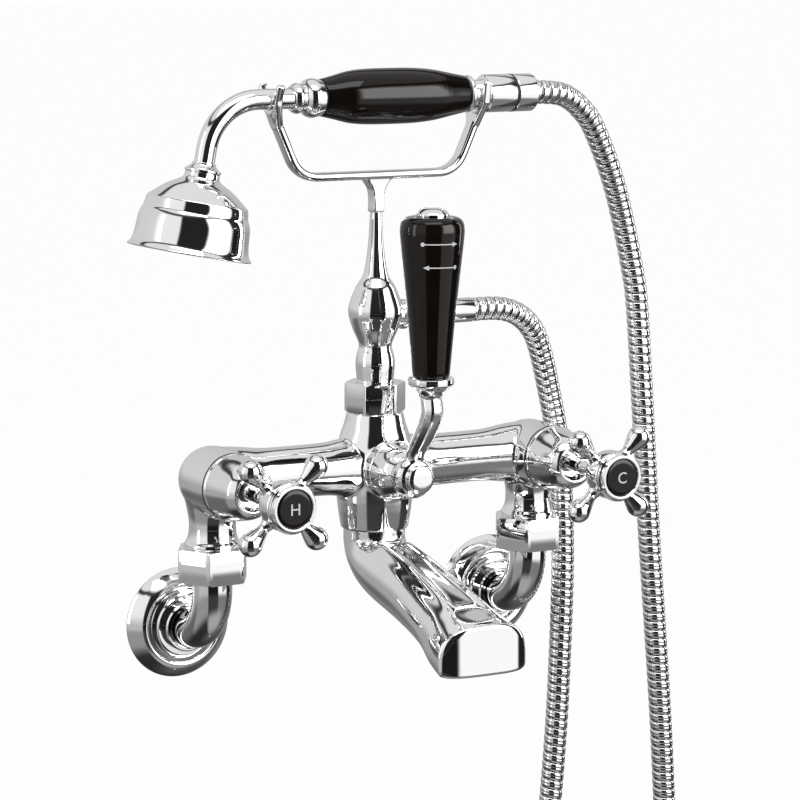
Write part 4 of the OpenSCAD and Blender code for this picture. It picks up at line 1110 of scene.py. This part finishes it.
@dataclass(frozen=True)
class Surround:
    """What the chrome mirrors: a dome and a floor of bright and dark areas that only reflections show."""

    middle: Vector
    floor_z: float
    tint: tuple = (1.0, 0.985, 0.97, 1.0)
    radius: float = 3.2
    turn_step: float = 1.5
    rises: tuple = tuple(range(-14, 90, 2))
    reach_from: float = 0.01
    reach_step: float = 0.08
    reach_count: int = 40
    standing: tuple = (
        (-180, 0.68), (-150, 0.72), (-112, 0.75), (-104, 0.97), (-55, 0.97), (-49, 0.02), (2, 0.02),
        (8, 1.12), (57, 1.12), (62, 0.03), (94, 0.03), (102, 0.55), (150, 0.60), (180, 0.68),
    )
    near_floor: tuple = (
        (-180, 0.25), (-160, 0.15), (-122, 0.15), (-112, 0.32), (-56, 0.32), (-48, 0.05), (0, 0.05),
        (8, 0.22), (58, 0.22), (66, 0.06), (100, 0.06), (110, 0.20), (180, 0.25),
    )
    lit_turn: tuple = (0.0, 60.0)
    low_rise: tuple = (-12.0, 8.0)
    low_share: float = 0.58
    dark_rise: tuple = (38.0, 41.0)
    over_rise: tuple = (45.0, 49.0)
    dark_level: float = 0.05
    over_level: float = 0.85
    box_turn: tuple = (6.0, 56.0)
    box_rise: tuple = (-6.0, 40.0)
    box_soft: float = 9.0
    box_level: float = 6.0
    under_floor: tuple = (
        (-180, 0.04), (-115, 0.025), (-62, 0.03), (-40, 0.42), (20, 0.42), (70, 0.12), (180, 0.04),
    )
    under_middle: float = 0.12
    under_reach: tuple = (0.0, 0.15)
    near_reach: tuple = (0.30, 0.55)
    far_reach: tuple = (1.0, 1.7)

    def side_level(self, turn: float, rise: float) -> float:
        """Brightness of what stands round the object, which darkens towards the floor except in front.

        Args:
            turn: Degrees round the object, 0 in front.
            rise: Degrees above the horizon.

        Returns:
            The brightness, where 1 is white.
        """
        level = level_at(self.standing, turn)
        if self.lit_turn[0] < turn < self.lit_turn[1]:
            return level
        return level * (self.low_share + (1 - self.low_share) * soft_step(rise, *self.low_rise))

    def dome_level(self, turn: float, rise: float) -> float:
        """Brightness of the dome.

        Args:
            turn: Degrees round the object, 0 in front.
            rise: Degrees above the horizon.

        Returns:
            The brightness, where 1 is white.
        """
        box = soft_window(turn, *self.box_turn, self.box_soft)
        box *= soft_window(rise, *self.box_rise, self.box_soft)
        level = self.side_level(turn, rise) + self.box_level * box
        level += (self.dark_level - level) * soft_step(rise, *self.dark_rise)
        return level + (self.over_level - level) * soft_step(rise, *self.over_rise)

    def floor_level(self, turn: float, reach: float) -> float:
        """Brightness of the floor.

        Args:
            turn: Degrees round the object, 0 in front.
            reach: Distance from the object in metres.

        Returns:
            The brightness, where 1 is white.
        """
        level = self.under_middle
        level += (level_at(self.under_floor, turn) - level) * soft_step(reach, *self.under_reach)
        level += (level_at(self.near_floor, turn) - level) * soft_step(reach, *self.near_reach)
        return level + (self.side_level(turn, self.low_rise[0]) - level) * soft_step(reach, *self.far_reach)

    def sheet(self, name: str, rows: Sequence, place: Callable, level: Callable) -> None:
        """Makes one glowing sheet, ring by ring.

        Args:
            name: Name of the sheet.
            rows: The value of each ring: its rise or its reach.
            place: Gives a point from turn and value.
            level: Gives the brightness from turn and value.
        """
        count = int(360 / self.turn_step)
        turns = [-180 + self.turn_step * k for k in range(count)]
        points = [place(math.radians(turn), row) for row in rows for turn in turns]
        sheet = new_piece(name, points, [], ring_faces(len(rows), count))
        glow = sheet.data.attributes.new("glow", "FLOAT", "POINT")
        glow.data.foreach_set("value", [level(turn, row) for row in rows for turn in turns])
        for ray in ("camera", "diffuse", "shadow", "transmission"):
            setattr(sheet, f"visible_{ray}", False)
        material = bpy.data.materials.new(name)
        material.use_nodes = True
        material.node_tree.nodes.clear()
        ink = NodeInk(material.node_tree)
        read = ink.add("ShaderNodeAttribute")
        read.attribute_name = "glow"
        light = ink.add("ShaderNodeEmission", Color=self.tint, Strength=read.outputs["Fac"])
        ink.add("ShaderNodeOutputMaterial", Surface=light.outputs["Emission"])
        sheet.data.materials.append(material)

    def on_dome(self, turn: float, rise: float) -> Vector:
        """The dome's point at a turn in radians and a rise in degrees."""
        return self.middle + direction(turn, math.radians(rise)) * self.radius

    def on_floor(self, turn: float, reach: float) -> Vector:
        """The floor's point at a turn in radians and a distance in metres."""
        return Vector((math.sin(turn) * reach, -math.cos(turn) * reach, self.floor_z))

    def build(self) -> None:
        """Stands the dome and lays the floor."""
        reaches = [self.reach_from + self.reach_step * k for k in range(self.reach_count)]
        self.sheet("mirrored_dome", self.rises, self.on_dome, self.dome_level)
        self.sheet("mirrored_floor", reaches, self.on_floor, self.floor_level)


@dataclass(frozen=True)
class Lamp:
    """A soft lamp that faces the object, with its turn and rise in degrees."""

    name: str
    turn: float
    rise: float
    size: tuple
    power: float
    distance: float = 1.9

    def hang(self, target: Vector) -> None:
        """Hangs the lamp.

        Args:
            target: What it faces.
        """
        data = bpy.data.lights.new(self.name, "AREA")
        data.shape = "RECTANGLE"
        data.size, data.size_y = self.size
        data.energy = self.power
        lamp = bpy.data.objects.new(self.name, data)
        bpy.context.scene.collection.objects.link(lamp)
        way = direction(math.radians(self.turn), math.radians(self.rise))
        lamp.location = target + way * self.distance
        lamp.rotation_euler = (-way).to_track_quat("-Z", "Y").to_euler()


@dataclass
class Studio:
    """A plain white studio: floor, soft lamps, what the chrome mirrors, and the photograph's camera."""

    target: tuple = (0.0143, -0.0410, 0.1106)
    distance: float = 1.5846
    azimuth: float = -29.27
    elevation: float = 8.92
    roll: float = 0.38
    focal_pixels: float = 3167.0
    sensor: float = 36.0
    floor_z: float = -0.375
    floor_size: float = 40.0
    floor_tint: tuple = (0.9, 0.9, 0.9, 1.0)
    floor_rough: float = 0.9
    floor_white: float = 0.96
    floor_gap: float = 0.002
    room_tint: tuple = (0.98, 0.99, 1.0, 1.0)
    room_level: float = 0.6
    white: tuple = (1.0, 1.0, 1.0, 1.0)
    lamps: tuple = (
        Lamp("lamp_left", -95.0, 12.0, (0.30, 1.5), 5.0),
        Lamp("lamp_right", 90.0, 12.0, (0.30, 1.5), 5.0),
        Lamp("lamp_top", -20.0, 66.0, (1.5, 0.8), 12.0),
    )

    def camera(self) -> None:
        """Stands the camera where the photograph was taken from."""
        turn, tilt, roll = (math.radians(v) for v in (self.azimuth, self.elevation, self.roll))
        back = direction(turn, tilt)
        right = Vector((math.cos(turn), math.sin(turn), 0.0))
        up = back.cross(right)
        across = math.cos(roll) * right + math.sin(roll) * up
        over = math.cos(roll) * up - math.sin(roll) * right
        data = bpy.data.cameras.new("photo_camera")
        data.sensor_width = self.sensor
        data.lens = self.focal_pixels * self.sensor / IMAGE_SIZE
        camera = bpy.data.objects.new("photo_camera", data)
        bpy.context.scene.collection.objects.link(camera)
        turned = Matrix((across, over, back)).transposed().to_4x4()
        camera.matrix_world = Matrix.Translation(Vector(self.target) + back * self.distance) @ turned
        bpy.context.scene.camera = camera

    @staticmethod
    def whitened(
        ink: NodeInk, lit: bpy.types.Node, white: bpy.types.Node, share: float
    ) -> bpy.types.NodeSocket:
        """Lets the rays that see the plain background see white: straight, mirrored or through glass.

        Args:
            ink: The nodes of the floor's material or of the world.
            lit: What all other rays see.
            white: What those rays see.
            share: How much of the white they see.

        Returns:
            The socket with the mixture.
        """
        path = ink.add("ShaderNodeLightPath")
        mirrored = ink.sum("MAXIMUM", path.outputs["Is Glossy Ray"], path.outputs["Is Transmission Ray"])
        seen = ink.sum("MAXIMUM", path.outputs["Is Camera Ray"], mirrored)
        mix = ink.add("ShaderNodeMixShader", Fac=ink.sum("MULTIPLY", seen, share))
        ink.feed(mix.inputs[1], lit.outputs[0])
        ink.feed(mix.inputs[2], white.outputs[0])
        return mix.outputs[0]

    def floor(self) -> None:
        """Lays a white floor that is lit, keeps a soft shadow and meets the white background."""
        bpy.ops.mesh.primitive_plane_add(size=self.floor_size, location=(0, 0, self.floor_z))
        floor = bpy.context.object
        floor.name = floor.data.name = "studio_floor"
        material = bpy.data.materials.new("studio_white")
        material.use_nodes = True
        ink = NodeInk(material.node_tree)
        nodes = material.node_tree.nodes
        shader = ink.fill(
            nodes["Principled BSDF"], Base_Color=self.floor_tint, Roughness=self.floor_rough,
            Specular_IOR_Level=0.0,
        )
        glow = ink.add("ShaderNodeEmission", Color=self.white, Strength=1.0)
        ink.fill(nodes["Material Output"], Surface=self.whitened(ink, shader, glow, self.floor_white))
        floor.data.materials.append(material)

    def surroundings(self) -> None:
        """Makes the white background and the even light of the room."""
        world = bpy.data.worlds.new("studio_world")
        bpy.context.scene.world = world
        world.use_nodes = True
        world.node_tree.nodes.clear()
        ink = NodeInk(world.node_tree)
        room = ink.add("ShaderNodeBackground", Color=self.room_tint, Strength=self.room_level)
        white = ink.add("ShaderNodeBackground", Color=self.white, Strength=1.0)
        ink.add("ShaderNodeOutputWorld", Surface=self.whitened(ink, room, white, 1.0))

    def build(self) -> None:
        """Sets up the whole studio."""
        bpy.context.scene.view_settings.view_transform = "Standard"
        self.camera()
        self.floor()
        self.surroundings()
        Surround(Vector(self.target), self.floor_z + self.floor_gap).build()
        for lamp in self.lamps:
            lamp.hang(Vector(self.target))


def main() -> None:
    """Builds the studio and the sub-assemblies in order."""
    logging.basicConfig(level=logging.INFO, format="%(name)s: %(message)s")
    Studio().build()
    groups = [
        Hose(Body.MIXER),
        *(WallInlet(Body.MIXER, side=side) for side in Side),
        BridgeBody(Body.MIXER),
        Spout(Body.MIXER),
        *(ValveHead(Body.MIXER, side=side) for side in Side),
        *(CrossHandle(Body[side.name], side=side) for side in Side),
        Diverter(Body.DIVERTER),
        Riser(Body.MIXER),
        Handset(Body.HANDSET),
    ]
    for group in groups:
        group.build()
        for name in group.made:
            LOG.info("%s: %s", type(group).__name__, name)


if __name__ == "__main__":
    main()
